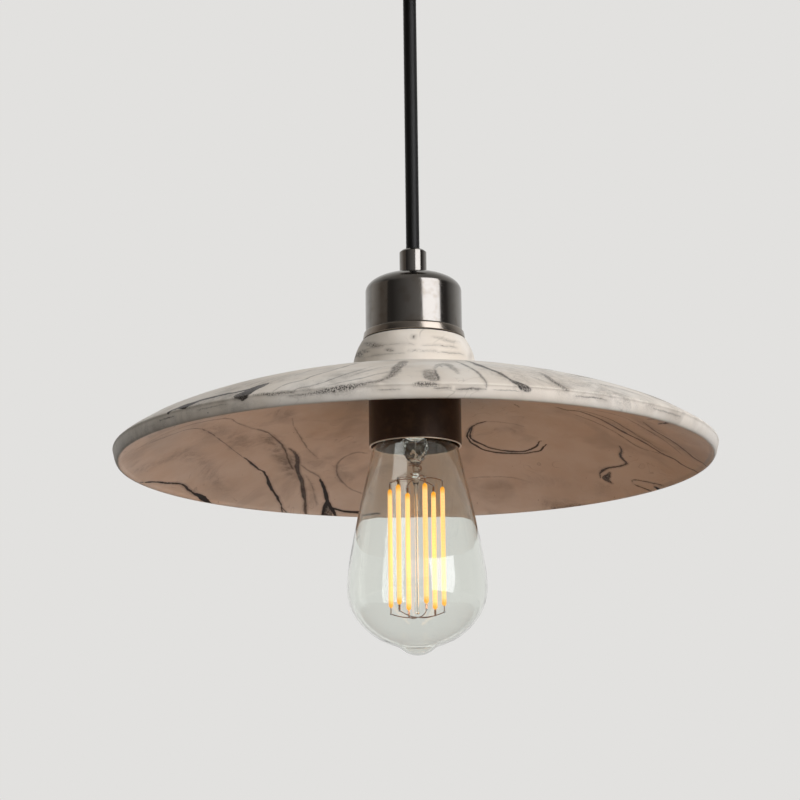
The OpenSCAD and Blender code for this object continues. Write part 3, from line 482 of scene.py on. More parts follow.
bend = random.Random(6)
upper, lower, welds = [], [], []
bead_levels = np.linspace(-1, 1, bead_rows)
bead_rings = bead_r * np.sqrt(np.clip(1 - bead_levels**2, 0.02, 1))
for k in range(filament_count):
    out, side = spoke(k)
    lift, twist = bend.uniform(0.2, 1.2), bend.uniform(-0.06, 0.06)
    for wires, from_r, from_z, to_z, arch in (
        (upper, 1.6, hub, top_end + 0.2, lift), (lower, 0.3, star, low_end - 0.1, -0.5 * lift),
    ):
        t = np.linspace(0, 1, 24)
        reach_r = from_r + (wire_reach - from_r) * t
        rise = from_z + (to_z - from_z) * t**2 + arch * np.sin(math.pi * t)
        path = [
            r * (out + twist * math.sin(3 * u) * side) + (0, 0, z) for r, u, z in zip(reach_r, t, rise)
        ]
        wires.append(tube(path, wire_r))
        weld = filament_circle * out + (0, 0, to_z)
        beads = [
            tuple(weld + (r * math.cos(b), r * math.sin(b), bead_r * h))
            for h, r in zip(bead_levels, bead_rings)
            for b in angles(bead_around)
        ]
        welds.append((beads, tube_faces(bead_rows, bead_around)))
new_piece("upper_star", *joined(upper), "copper_wire", "bulb", ["upper_wires"], sharp=180)
new_piece("lower_wires", *joined(lower), "copper_wire", "bulb", ["lower_star"], sharp=180)
new_piece("weld_beads", *joined(welds), "zinc_steel", "bulb", sharp=180)

# %% [markdown]
# An LED filament is a thin strip of tiny chips under a thick coat of phosphor, about 2 mm
# across, with a flat metal tab at each end. A plain rod would look like a fluorescent tube.
# The real coat is dipped, so it is a little uneven and rounded at both ends, and each of the
# six pieces gets its own unevenness from a seeded draw.

# %% Filaments
filament_r, coat_flatness, tab_len = 1.15, 0.88, 2.5
coat_around, coat_rows = 20, 90
tab_half_w, tab_half_t, tab_tuck = 0.5, 0.15, 0.4
chance = random.Random(64)
filaments = []
for k in range(filament_count):
    node = f"filament_{k + 1}"
    low, high = low_of(node), high_of(node)
    out, side = spoke(k)
    along = np.linspace(low + tab_len, high - tab_len, coat_rows)
    share = np.linspace(0, 1, coat_rows)
    waves = [
        (chance.uniform(2, 9), chance.uniform(0, 6.28), chance.uniform(0.004, 0.010)) for _ in range(5)
    ]
    lumps = 1 + sum(a * np.sin(f * 2 * np.pi * share + p) for f, p, a in waves)
    end_taper = np.clip(np.minimum(share, 1 - share) * (high - low), 0.03, 1) ** 0.5
    points = [
        out * (filament_circle + r * coat_flatness * math.cos(a)) + side * r * math.sin(a) + (0, 0, z)
        for z, r in zip(along, filament_r * lumps * end_taper)
        for a in angles(coat_around)
    ]
    faces = tube_faces(coat_rows, coat_around)
    coat_faces = len(faces)
    for bottom, top in ((low, low + tab_len + tab_tuck), (high - tab_len - tab_tuck, high)):
        start = len(points)
        for z, narrow in ((bottom, 0.7), (bottom + 0.5, 1), (top - 0.5, 1), (top, 0.8)):
            for u, v in ((-1, -1), (1, -1), (1, 1), (-1, 1)):
                across = side * v * tab_half_w * narrow
                points.append(out * (filament_circle + u * tab_half_t) + across + (0, 0, z))
        faces += [tuple(start + i for i in face) for face in tube_faces(4, 4)]
    filament = new_piece(f"led_{node}", points, faces, "glowing_filament", "bulb", [node], sharp=40)
    filaments.append((filament, coat_faces))
    filament.visible_shadow = False

# %% [markdown]
# The shade is one fired piece: a neck with a bored plate, a shallow dome, and a lip. It
# could be sculpted, but its outline has to repeat the CAD one, so it is built from curves.
# The dome bends down a little before it ends in a crisp edge. The lip's face stands upright
# under that edge, so it is bright on the lamp's side and dark on the other, and then it
# rounds into the hollow.

# %% Shade outline
def downhill(degrees):
    """Direction outwards and down by a slope."""
    a = math.radians(degrees)
    return np.array([math.cos(a), -math.sin(a)])


dome_rise, wall = 43.0, 5.0
lip_half_w, lip_half_h, lip_centre_r = 3.0, 4.2, 135.4
bore_r, throat_r = 20.3, 22.65
foot, plate = rim + dome_rise, low_of("shade_washer") + 1.0
crown, fall, steep = (downhill(slope) for slope in (14, 32, 42))
crown_in, fall_in = (wall * np.array([-way[1], way[0]]) for way in (crown, fall))
lip_join = math.atan(lip_half_h / lip_half_w / math.tan(math.radians(32)))
dome_start = np.array([29.0, foot])
dome_end = np.array([
    lip_centre_r + lip_half_w * math.cos(lip_join),
    rim + lip_half_h + lip_half_h * math.sin(lip_join),
])
neck = curve((24.3, neck_top), (27.684, neck_top - 5.652), (28.3, foot + 7.065), dome_start, 12)
dome = curve(dome_start, dome_start + 37 * crown, dome_end - 33 * fall, dome_end, 60)[:54]
crease, edge = np.array([137.6, rim + 6.6]), (138.4, rim + 5.6)
dome += curve(dome[-1], dome[-1] + 3 * fall, crease - 2.5 * steep, crease, 8)[1:]
dome += curve(crease, crease + 0.5 * steep, (138.4, rim + 6.0), edge, 5)[1:]
lip = []
for steps, corners in (
    (4, ((138.4, 5.6), (138.4, 5.2), (138.1, 5.1), (138.05, 4.7))),
    (5, ((138.05, 4.7), (138.0, 3.6), (137.7, 2.2), (137.2, 1.2))),
    (5, ((137.2, 1.2), (136.8, 0.4), (136.4, 0), (135.9, 0))),
    (7, ((135.9, 0), (135.2, 0), (134.8, 1.0), (134.0, 1.7))),
):
    lip += curve(*((r, rim + z) for r, z in corners), steps)[1:]
throat_start = dome_start - crown_in
inner_end, inner_start = dome_end - 33 * fall - fall_in, dome_start + 37 * crown - crown_in
inside = curve(lip[-1], inner_end, inner_start, throat_start, 64)
throat = curve(throat_start, throat_start - (2.6, -0.6), (throat_r, foot - 2), (throat_r, foot + 2), 8)
outer_line = soften([(bore_r, neck_top)] + neck + dome[1:] + lip, 0.5, closed=False)
inner_line = inside[1:] + throat[1:] + [(throat_r, plate), (bore_r, plate)]
clay_outline = divide(outer_line + soften(inner_line, 0.4, closed=False), 1.9)
print("shade outline:", len(clay_outline), "points")

# %% [markdown]
# The clay starts as a flat sheet, and the veins are drawn on that sheet, because there they
# keep their true widths. Each point of the shade gets its place on it: the run along the
# outline counts as the distance from the middle. The outer face and the inner face each
# have a sheet of their own. Unwrapping would need a picture to hold the lines.

# %% Sheet coordinates of the clay
line = np.array(clay_outline)
lip_lowest = int(np.argmin(line[:, 1]))
runs = np.concatenate([[0], np.cumsum(np.hypot(*np.diff(line, axis=0).T))])


def index_near(place, start=0):
    """Index of the outline's point nearest to a place, looked for from start on."""
    return start + int(np.argmin(np.hypot(*(line[start:] - place).T)))


sheet_r = np.where(
    np.arange(len(line)) <= lip_lowest,
    dome_start[0] + runs - runs[index_near(dome_start)],
    throat_start[0] + runs[index_near(throat_start, lip_lowest)] - runs,
)
crease_r = sheet_r[index_near(crease)]
print("sheet radius at the lip, outside and inside:", sheet_r[lip_lowest:lip_lowest + 2].round(1))

clay_around = 420
clay_angle = angles(clay_around)


def spun(radii):
    """Places round the axis, in mm, for each of the radii."""
    return np.stack([np.outer(radii, np.cos(clay_angle)), np.outer(radii, np.sin(clay_angle))], axis=2)


clay_xy, clay_sheet = spun(line[:, 0]), spun(sheet_r)

# %% [markdown]
# The clay was pressed over a mould by hand, so its surface wanders by up to a quarter of a
# millimetre, which a perfect lathe form lacks. A Displace modifier could do it, but a few
# waves round the axis are easier to fade out where metal touches the clay.

# %% Hand-made unevenness
clear_of_metal = np.clip((line[:, 0] - 30) / 12, 0, 1) * np.clip((neck_top - 4 - line[:, 1]) / 6, 0, 1)
sway = sum(
    size * np.cos(n * clay_angle[None, :] + phase + twist * runs[:, None] / 60)
    for n, size, phase, twist in (
        (2, 0.10, 0.4, 0.3), (3, 0.07, 2.1, -0.6), (5, 0.05, 4.0, 1.1), (9, 0.03, 1.0, 2.3),
    )
)
clay_z = line[:, 1:] + sway * clear_of_metal[:, None]
clay_points = np.concatenate([clay_xy, clay_z[:, :, None]], axis=2)
shade = new_piece(
    "marbled_shade", clay_points.reshape(-1, 3), ring_faces(len(line), clay_around, closed=True),
    "marbled_ceramic", "lamp", ["ceramic_shade"], sharp=60,
)

# %% [markdown]
# Marbled clay is made by folding dark slip into pale clay and rolling it out. The dark slip
# is drawn into long curved lines, thick where it pooled and thin where it was stretched, and
# grey smoke lies beside the lines where the two clays blended. Noise alone gives clouds and
# no such lines, so they are drawn as strokes on the flattened sheet: half width in mm,
# darkness, softness of the edge, and a few points. Those on the seen half follow the
# photograph's flow.

# %% Veins on the near outside, from left to right
outer_veins = [
    # The dark wedge on the left, with its thick head, and the fine lines that trail from it.
    (0.7, 1, 0.1, [(-109.5, -96), (-105.5, -98), (-99, -103.5), (-94, -105), (-88.5, -109), (-82, -113),
        (-75, -117.5), (-70, -118.5), (-65.5, -118), (-62.5, -117.5)]),
    (1.3, 1, 0.15, [(-104.5, -99), (-99, -104), (-94, -106)]),
    (2.3, 1, 0.2, [(-76, -122), (-72.5, -123), (-69.5, -121), (-64.5, -118.5)]),
    (0.6, 0.9, 0.4, [(-76, -123.5), (-73.5, -124.5), (-71, -123.5)]),
    (0.22, 0.6, 0.1, [(-60, -131.5), (-54, -126.5), (-47.5, -126), (-42.5, -122), (-35.5, -115.5),
        (-29, -105), (-22.5, -86)]),
    (0.15, 0.4, 0.1, [(-57.5, -120), (-52.5, -115), (-46, -106), (-39.5, -92.5)]),
    (0.22, 0.55, 0.1, [(-52, -137), (-49.5, -136), (-44, -136.5), (-37, -134), (-30.5, -129),
        (-23, -122.5), (-17, -113.5)]),
    (0.35, 0.6, 0.7, [(-69, -128), (-65.5, -130), (-60.5, -133), (-55.5, -135), (-51, -137)]),
    # The speckled streak that falls from the neck and turns left along the lip.
    (1.2, 1, 0.8, [(-4, -95), (-5.5, -111), (-7, -121.5), (-9, -133.5), (-12, -139.5)]),
    (0.7, 0.8, 0.7, [(-11, -138.5), (-16, -142), (-22, -143), (-28, -143), (-35, -142.5), (-41, -141.5),
        (-47.5, -140)]),
    (0.2, 0.5, 0.4, [(-10.5, -131), (-15.5, -132.5), (-22, -136), (-28.5, -138), (-37, -139.5)]),
    (0.2, 0.45, 0.4, [(-8, -115.5), (-14, -119.5), (-20.5, -126), (-27, -132)]),
    # The grey blotch in the middle, its darker right edge, and the arc over it.
    (1.9, 0.55, 0.6, [(6, -129.5), (6.5, -136.5), (8, -143)]),
    (0.45, 0.85, 0.4, [(8.5, -128), (9.5, -136.5), (10, -143)]),
    (0.8, 0.5, 0.7, [(8.5, -126.5), (10.5, -115), (13.5, -111.5), (16, -123), (18.5, -133)]),
    (0.7, 0.7, 0.7, [(-0.5, -146), (2.5, -145.5), (6, -145.5), (10, -146)]),
    # The curves on the right that widen as they reach the lip.
    (0.35, 0.6, 0.3, [(17.5, -97), (22, -116), (26.5, -129.5), (29, -137), (30, -141.5),
        (30.5, -143.5)]),
    (0.6, 0.85, 0.3, [(22, -87.5), (27.5, -111), (32.5, -122), (37, -128.5), (40.5, -134), (44, -137.5),
        (47.5, -138.5)]),
    (0.9, 0.9, 0.3, [(40.5, -134.5), (44, -137.5), (49, -138.5)]),
    (0.7, 0.75, 0.6, [(53.5, -112), (57, -120), (60.5, -127), (63.5, -130), (65.5, -130)]),
    (0.2, 0.45, 0.3, [(51.5, -119.5), (56, -117), (59, -117)]),
    # Marks on the neck.
    (0.12, 0.4, 0.3, [(-21, -14), (-16.5, -19), (-11, -23), (-4, -25.5)]),
    (0.12, 0.35, 0.3, [(-19, -9), (-14, -15.5), (-7.5, -19.5), (0, -21.5)]),
    (0.3, 0.4, 0.8, [(-2, -24.5), (4, -24.5), (9, -23)]),
    (0.3, 0.35, 0.8, [(6, -16), (11, -15), (14, -11)]),
    (0.12, 0.4, 0.2, [(3, -22), (9.5, -19.5), (15, -15)]),
    (0.55, 0.85, 0.9, [(-14.5, -8.5), (-13.5, -14), (-11, -18)]),
    (0.4, 0.75, 0.9, [(-18.5, -8.5), (-17.5, -12.5), (-16.5, -15)]),
    (0.8, 0.95, 0.9, [(-21, -4.5), (-20, -8.5), (-19.5, -13)]),
    (0.45, 0.75, 0.6, [(-10.5, -20.5), (-8.5, -22.5)]),
    (0.35, 0.8, 0.3, [(0, -17), (0, -18)]),
    (0.15, 0.4, 0.2, [(9.5, -23.5), (14.5, -20), (19.5, -14.5)]),
]

# %% [markdown]
# Short thin dark streaks lie along the lip. They run round the axis just under the edge, and
# so angles in degrees describe them better than points do.

# %% Thin streaks along the lip
streak_r = crease_r + 3.4
for half, dark, turn_from, turn_to in (
    (0.12, 0.8, -87, -84), (0.2, 0.7, -83, -78), (0.1, 0.5, -77, -71),
    (0.16, 0.6, -62, -55), (0.15, 0.5, -44, -35), (0.14, 0.6, -112, -104),
    (0.1, 0.6, -131, -124), (0.2, 0.7, -142, -137), (0.1, 0.5, -97, -92),
):
    turns = np.radians(np.linspace(turn_from, turn_to, 8))
    streak = [(streak_r * math.cos(a), streak_r * math.sin(a)) for a in turns]
    outer_veins.append((half, dark, 0.3, streak))

# %% [markdown]
# The hollow shows its own face of the clay, with fewer and clearer lines: long falling ones
# on the left, a hook beside the lampholder, a squiggle, and a sheaf along the right rim.

# %% Veins in the hollow, from left to right
inner_veins = [
    # The dark line that cuts off a corner of the rim.
    (0.35, 1, 0, [(-138, 35.5), (-133.5, 43), (-127, 53.5), (-122.5, 59.5), (-119, 65), (-117.5, 71),
        (-115.5, 77), (-112.5, 83), (-110.5, 88), (-108.5, 93.5)]),
    (0.95, 1, 0, [(-114.5, 79), (-112.5, 83), (-110.5, 88), (-108, 95)]),
    # The long line that starts faint beside the lip and turns brown as it falls.
    (0.2, 0.5, 0, [(-134, -19), (-126.5, -15.5), (-119, -11.5), (-112.5, -9.5), (-109, -9), (-104, -3.5),
        (-100, 7), (-97.5, 18.5), (-92, 43), (-86, 64)]),
    (0.42, 0.9, 0, [(-86.5, 61.5), (-83, 72), (-81, 78.5), (-78, 84), (-77, 90.5), (-76, 99.5),
        (-74.5, 106), (-73, 113.5), (-72, 119), (-72.5, 125)]),
    (0.2, 0.6, 0, [(-72, 118), (-71.5, 121), (-70, 126)]),
    # The two edges of the broad smoky band.
    (0.32, 0.75, 0.2, [(-77, 30), (-72.5, 38.5), (-70, 47.5), (-67.5, 56), (-66, 63), (-65, 72.5),
        (-64.5, 81), (-63, 89.5)]),
    (0.65, 1, 0.3, [(-63.5, 66), (-61.5, 70), (-60.5, 75.5), (-60, 82), (-61, 88.5), (-60.5, 95.5),
        (-59.5, 103), (-59.5, 111), (-59.5, 118), (-59.5, 125.5), (-60, 133)]),
    (0.25, 0.4, 0.5, [(-57.5, 97.5), (-55, 105.5), (-54, 114.5), (-53.5, 125.5)]),
    # The line that opens into a funnel at the rim, with a branch to the right.
    (0.2, 0.45, 0.2, [(-59, 86.5), (-54.5, 95), (-50.5, 101), (-49.5, 106)]),
    (0.6, 1, 0, [(-50, 104), (-49, 109.5), (-48, 116.5), (-47.5, 123), (-48, 129)]),
    (0.6, 0.9, 0, [(-48, 124), (-49.5, 129), (-51.5, 135)]),
    (0.6, 0.9, 0, [(-47.5, 124), (-46, 129), (-44, 136)]),
    (1.6, 0.95, 0.4, [(-48, 126), (-48, 130), (-48, 137)]),
    (0.5, 0.95, 0.1, [(-47, 128), (-43, 132), (-37, 135), (-29, 137), (-22, 139)]),
    # Faint lines along the lip and down from the top.
    (0.2, 0.42, 0.1, [(-133, -16), (-125.5, -18.5), (-117.5, -19), (-107, -16), (-100, -12), (-92, -5.5),
        (-87.5, 0.5), (-85, 11.5), (-80.5, 23.5), (-77, 31)]),
    (0.18, 0.4, 0.1, [(-59.5, 28), (-59, 41), (-56.5, 59), (-54, 71), (-50, 83)]),
    # The half ring beside the bulb.
    (0.28, 0.5, 0.3, [(-24.5, 84.5), (-30.5, 82.5), (-35.5, 85.5), (-39.5, 90), (-41, 97.5),
        (-40.5, 105), (-37.5, 112.5), (-33, 118.5), (-27.5, 123)]),
    # The hook on the right of the lampholder, which is a double line.
    (0.4, 1, 0, [(35, 47.5), (30.5, 51.5), (27.5, 57), (26, 65.5), (27, 71), (30.5, 76.5), (35, 80),
        (41, 81.5), (48, 80.5), (55, 78), (58.5, 75.5), (62.5, 72.5), (64, 68), (65.5, 63)]),
    (0.4, 1, 0, [(28.5, 56), (27.5, 62), (28, 69), (32, 73), (37.5, 77), (44.5, 78.5), (50.5, 77.5),
        (55.5, 75), (59, 71), (61, 66.5), (62, 61), (64, 60)]),
    (0.2, 0.35, 0.2, [(35, 47.5), (41.5, 46), (47.5, 45.5), (53.5, 46.5)]),
    # The squiggle and its blot.
    (0.42, 0.95, 0.2, [(100.5, 41.5), (102, 45.5), (102, 52), (104, 56.5), (106, 58.5), (104, 63.5),
        (100, 68.5), (96.5, 73), (94.5, 79), (95, 83.5)]),
    (0.8, 1, 0.3, [(99, 75), (98.5, 79.5), (97, 82.5), (99, 84), (101, 84.5)]),
    # The sheaf of lines that runs along the right rim.
    (0.4, 0.85, 0.1, [(67, 9), (72, 9.5), (77.5, 6.5), (84.5, 8.5), (89.5, 11), (95, 16), (101.5, 20.5),
        (106.5, 22.5), (112, 24.5), (117.5, 28), (122, 29.5), (128, 29), (133, 31), (142, 27)]),
    (0.22, 0.6, 0.1, [(79, 4), (85.5, 4), (92.5, 5.5), (98, 10), (103, 14.5), (109.5, 19.5), (115, 22.5),
        (120, 26.5)]),
    (0.25, 0.5, 0.1, [(76.5, 14), (83.5, 16.5), (89.5, 19.5), (96.5, 24), (103, 29.5), (108.5, 33.5),
        (113.5, 33.5), (118.5, 31), (124, 30.5)]),
    (0.35, 0.8, 0.1, [(107.5, -9.5), (113.5, -1), (118.5, 1.5), (125, 5.5), (130, 9), (136, 13),
        (142, 12)]),
    (0.2, 0.5, 0.1, [(85, -3), (91.5, -5.5), (98, -6), (105, -1.5), (112.5, 4.5), (120.5, 9.5),
        (130, 18)]),
    (0.3, 0.75, 0.1, [(110.5, 74), (112.5, 72), (116.5, 70), (121.5, 67.5), (126.5, 64)]),
    (0.3, 0.75, 0.1, [(110.5, 74), (112, 77), (116.5, 76.5), (120, 75.5), (122.5, 74.5)]),
    (0.7, 1, 0.1, [(122.5, 70), (124.5, 69.5), (125.5, 69)]),
    # Faint marks at the far rim and beside the lampholder.
    (1, 0.55, 0.9, [(73.5, 121.5), (77.5, 121.5), (86.5, 114.5), (90, 112)]),
    (0.15, 0.35, 0.2, [(27.5, 110), (36.5, 107), (45.5, 105), (52.5, 104.5), (60, 105.5)]),
    (0.5, 0.6, 0.5, [(47.5, 18.5), (49, 20), (50, 22)]),
]

# %% [markdown]
# The smoke is drawn in the same way, as broad strokes that fade to the sides: half width in
# mm, strength, and points. It lies along the strong lines and in a few wide veils. Some outer
# veils darken the clay as painted shade, as marked below.

# %% Smoke and painted shade
outer_smoke_and_shade = [
    (4, 0.8, [(-103, -100.5), (-93, -108.5), (-82, -115), (-73, -123), (-66.5, -119)]),
    (3.5, 0.6, [(-7, -124), (-11, -137.5), (-19.5, -142.5), (-30.5, -143), (-41, -141)]),
    (6, 0.5, [(-19, -119.5), (-30.5, -131), (-42, -136.5), (-56, -133)]),
    (9, 0.5, [(-44, -104), (-56, -112), (-72, -108), (-88, -96)]),
    (11, 0.45, [(26, -100), (44, -112), (64, -106), (84, -92)]),
    (8, 0.5, [(36, -126), (56, -128), (78, -118), (98, -102)]),
    (3, 0.7, [(6, -127.5), (7, -138), (8, -144)]),
    (2, 0.4, [(11, -116), (14.5, -118.5), (17.5, -130)]),
    (3, 0.5, [(27.5, -117), (36, -130), (44, -138), (49, -138)]),
    (3, 0.45, [(53.5, -114.5), (59.5, -126), (65.5, -130)]),
    (4, 0.4, [(69, -116), (82, -116.5), (96, -109.5), (111.5, -96.5)]),
    # Painted shade: these two veils darken the lip's upright face on the left, where it turns from the
    # light.
    (4, 0.35, [(-145, -35), (-140, -55), (-130, -74), (-119, -92), (-106, -106), (-94, -117)]),
    (3, 0.3, [(-92.5, -118), (-80, -127), (-69, -134), (-59, -139)]),
    # These two broad veils darken the right of the dome, partly the clay's grey smoke and partly painted
    # shade.
    (9, 0.45, [(42, -62), (68, -74), (98, -78), (118, -72)]),
    (7, 0.4, [(60, -36), (92, -44), (122, -46)]),
]
inner_smoke = [
    (4, 0.95, [(-75.5, 35), (-72, 50), (-69, 64.5), (-66.5, 79), (-64.5, 91), (-62, 101)]),
    (2.5, 0.8, [(-63, 73.5), (-63, 83.5), (-61.5, 94)]),
    (5, 0.5, [(-121, 13), (-114.5, 27), (-109, 41), (-105.5, 60), (-102.5, 79.5), (-97, 95),
        (-92, 101.5)]),
    (4, 0.4, [(-139.5, 16), (-129, 24), (-120.5, 28.5)]),
    (6, 0.5, [(-102, 1), (-95.5, 13), (-89.5, 27), (-84, 44.5), (-82, 58)]),
    (5, 0.65, [(-67.5, 8), (-63, 17), (-61, 25.5)]),
    (3, 0.35, [(-132.5, -18), (-124, -16), (-114, -10)]),
    (4, 0.4, [(-38, 91.5), (-38, 102), (-32, 112)]),
    (3, 0.35, [(-56.5, 103.5), (-55.5, 115.5), (-57, 129)]),
    (2.5, 0.35, [(37, 59), (45, 53), (48.5, 53.5), (53, 56.5)]),
    (4, 0.3, [(96.5, 86), (97, 96), (98.5, 100)]),
    (4.5, 0.5, [(84.5, 6.5), (93, 10.5), (101.5, 15), (110.5, 20), (119.5, 25), (128.5, 26.5)]),
    (5.5, 0.55, [(99.5, -9), (107.5, -9.5), (117, 1), (126.5, 8.5), (136, 14)]),
    (5, 0.45, [(64.5, 121), (73, 120), (80.5, 117), (87.5, 111)]),
    (5, 0.25, [(31.5, 117.5), (47.5, 111), (65, 102), (83, 97.5)]),
]
print(len(outer_veins), "outer and", len(inner_veins), "inner veins drawn by hand")

# %% [markdown]
# The far side of the clay is out of the photograph, and so is the ring of the dome behind
# its crest. Drawing those by hand would take long and look like nothing in particular, so
# their veins follow one smooth flow, as folded clay does: each stroke walks along the flow
# until it comes too close to another, so the lines run in sheaves and never cross. Most are
# thin, and a few are thick.

# %% Veins that follow a flow
pen = random.Random(1203)


def smooth_stroke(points, step=1.5):
    """A smooth line through the points, as points step mm apart."""
    p = np.array(points, float)
    p = np.vstack([2 * p[0] - p[1], p, 2 * p[-1] - p[-2]])
    fine = []
    for a, b, c, d in zip(p, p[1:], p[2:], p[3:]):
        n = max(2, int(np.hypot(*(c - b)) / step))
        t = (np.arange(n) / n)[:, None]
        bent = 2 * b + (c - a) * t + (2 * a - 5 * b + 4 * c - d) * t**2
        fine.append(0.5 * (bent + (3 * b - a - 3 * c + d) * t**3))
    return np.vstack(fine + [p[-2:-1]])


def flow_way(p):
    """Direction of the flow at a place on the sheet, turned by three broad waves."""
    x, y = p
    a = 1.7 * math.sin(x / 61 + 0.8) + 1.5 * math.cos(y / 47 - 0.5) + 0.6 * math.sin((x - y) / 29 + 2.0)
    return np.array([math.cos(a), math.sin(a)])


def follow(veins, angle_from, angle_to, tries, widest=147, narrowest=30, stride=5):
    """Adds strokes along the flow between two angles in degrees, clear of those there already."""
    taken = [smooth_stroke(points, 3) for *_, points in veins]
    for _ in range(tries):
        a, r = math.radians(pen.uniform(angle_from, angle_to)), pen.uniform(narrowest + 4, widest - 3)
        gap, p, points = pen.choice((3, 4, 6, 9)), np.array([r * math.cos(a), r * math.sin(a)]), []
        crowd = np.vstack(taken)
        for _ in range(pen.randint(12, 44)):
            turn_now = (math.degrees(math.atan2(p[1], p[0])) + 150) % 360 - 150
            inside_area = narrowest < np.hypot(*p) < widest and angle_from < turn_now < angle_to
            if not inside_area or np.hypot(*(crowd - p).T).min() < gap:
                break
            points.append(tuple(p))
            p = p + stride * flow_way(p)
        if len(points) > 6:
            half = 0.14 + 0.9 * pen.random() ** 4 * min(1, len(points) / 12)
            dark = min(1, 0.4 + half * 0.5 + pen.uniform(0, 0.25))
            veins.append((half, dark, pen.choice((0, 0.2, 0.6)), points))
            taken.append(smooth_stroke(points, 3))


by_hand = len(outer_veins), len(inner_veins)
follow(outer_veins, -26, 206, 420)
follow(outer_veins, -58, -28, 40)
follow(outer_veins, -148, -20, 120, widest=84)
follow(inner_veins, -82, -8, 90)
follow(inner_veins, -149, -98, 60)
follow(inner_veins, 188, 209, 30)
for listed, veins, first in zip((outer_smoke_and_shade, inner_smoke), (outer_veins, inner_veins), by_hand):
    listed += [(4 * half + 3, 0.5 * dark, points) for half, dark, _, points in veins[first::2]]
    print(len(veins) - first, "veins follow the flow")

# %% [markdown]
# A thin line can't be stored as a darkness at each point, because the points lie 2 mm apart
# and the line is half a millimetre wide. So each point stores the arrow to the nearest place
# on a stroke. Between points that arrow changes evenly, so its length gives the distance to
# the line exactly, and the material can draw an edge as sharp as it likes.

# %% Nearest place on a stroke
def nearest_on(stroke, places):
    """Arrow from each place to the stroke, and how far along the stroke it ends, from 0 to 1."""
    best = np.full(len(places), 1e9)
    arrow, share = np.zeros((len(places), 2)), np.zeros(len(places))
    for i, (a, b) in enumerate(zip(stroke, stroke[1:])):
        t = np.clip((places - a) @ (b - a) / max(1e-9, (b - a) @ (b - a)), 0, 1)
        v = a + t[:, None] * (b - a) - places
        d = np.hypot(v[:, 0], v[:, 1])
        closer = d < best
        best[closer], arrow[closer] = d[closer], v[closer]
        share[closer] = (i + t[closer]) / (len(stroke) - 1)
    return arrow, share


def near_stroke(stroke, outside, margin):
    """Indices of the clay's points on one face, in the box round a stroke."""
    low, high = stroke.min(0) - margin, stroke.max(0) + margin
    in_box = np.all((places > low) & (places < high), axis=1)
    return np.where((is_outer == outside) & in_box)[0]


def gap_between(stroke, other):
    """Smallest distance between the points of two strokes, in mm."""
    return np.hypot(*(other[:, None] - stroke[None]).reshape(-1, 2).T).min()


places = clay_sheet.reshape(-1, 2)
is_outer = np.repeat(np.arange(len(line)) <= lip_lowest, clay_around)
print(len(places), "points on the clay,", int(is_outer.sum()), "of them outside")

# %% [markdown]
# Where two strokes run close to each other, a point has room for only one arrow, and one of
# the lines would break off. So they go on different layers, at least 7 mm apart on each. A
# second triple at each point, the pen, holds the line's half width, darkness and softness.

# %% Arrows to the veins, in layers
reach, far, layer_count, layer_gap = 10.0, 30.0, 6, 7.0
arrows = np.full((layer_count, len(places), 3), far, np.float32)
pens = np.zeros((layer_count, len(places), 3), np.float32)
nearest = np.full((layer_count, len(places)), 1e9)
layers = [[] for _ in range(layer_count)]
strokes = [(True, *v) for v in outer_veins] + [(False, *v) for v in inner_veins]
for outside, half, dark, soft, points in strokes:
    stroke = smooth_stroke(points)
    gaps = [
        min([gap_between(stroke, other) for face, other in layer if face == outside], default=99)
        for layer in layers
    ]
    layer = next((i for i, gap in enumerate(gaps) if gap > layer_gap), int(np.argmax(gaps)))
    layers[layer].append((outside, stroke))
    near = near_stroke(stroke, outside, reach)
    arrow, share = nearest_on(stroke, places[near])
    length = np.hypot(arrow[:, 0], arrow[:, 1])
    closer = (length < nearest[layer, near]) & (length < reach)
    index = near[closer]
    nearest[layer, index] = length[closer]
    # Half way between two strokes the arrow flips over. A third number keeps it long there,
    # so that no false line shows.
    lift = np.clip(length[closer] - half - 1.4, 0, None) * 3
    arrows[layer, index] = np.column_stack([arrow[closer], lift])
    taper = np.sin(np.pi * np.clip(share[closer] * 0.96 + 0.02, 0, 1)) ** 0.45
    half_now, dark_now = half * (0.25 + 0.75 * taper), dark * (0.6 + 0.4 * taper)
    pens[layer, index] = np.column_stack([half_now, dark_now, np.full(len(taper), soft)])
print("veins on each layer:", [len(s) for s in layers])

# %% [markdown]
# Smoke is broad, so a darkness at each point is enough for it, and the painted shade among
# its strokes goes the same way. Each stroke leaves a share of the clay clear, and what is left
# clear by all of them together gives the smoke and painted shade. Arrows, pens and smoke are
# kept on the mesh as attributes, which the material reads by name.

# %% Smoke, painted shade and the mesh's attributes
clear_of = np.ones(len(places))
for outside, listed in ((True, outer_smoke_and_shade), (False, inner_smoke)):
    for half, strength, points in listed:
        stroke = smooth_stroke(points, 4)
        near = near_stroke(stroke, outside, 2.5 * half)
        arrow, share = nearest_on(stroke, places[near])
        ends = np.clip(np.minimum(share, 1 - share) * 6, 0.15, 1)
        clear_of[near] *= 1 - strength * ends * np.exp(-(arrow**2).sum(1) / half**2)
smoke = 1 - clear_of

for i in range(layer_count):
    for name, values in ((f"vein_{i}", arrows[i]), (f"pen_{i}", pens[i])):
        stored = shade.data.attributes.new(name, "FLOAT_VECTOR", "POINT")
        stored.data.foreach_set("vector", values.ravel())
stored = shade.data.attributes.new("smoke", "FLOAT", "POINT")
stored.data.foreach_set("value", smoke.astype(np.float32))
print("share of the clay under smoke:", round(float((smoke > 0.2).mean()), 3))

# %% [markdown]
# Materials come next. One function turns a hex colour into the linear numbers that Blender
# wants, one starts a material, one adds a node with its settings and links, and one links
# the results to the shader. Patterns use the object's own coordinates in mm, because every
# piece and CAD node sits at the origin. Two groups of settings come up again and again: a
# colour mix, and a range with soft ends.

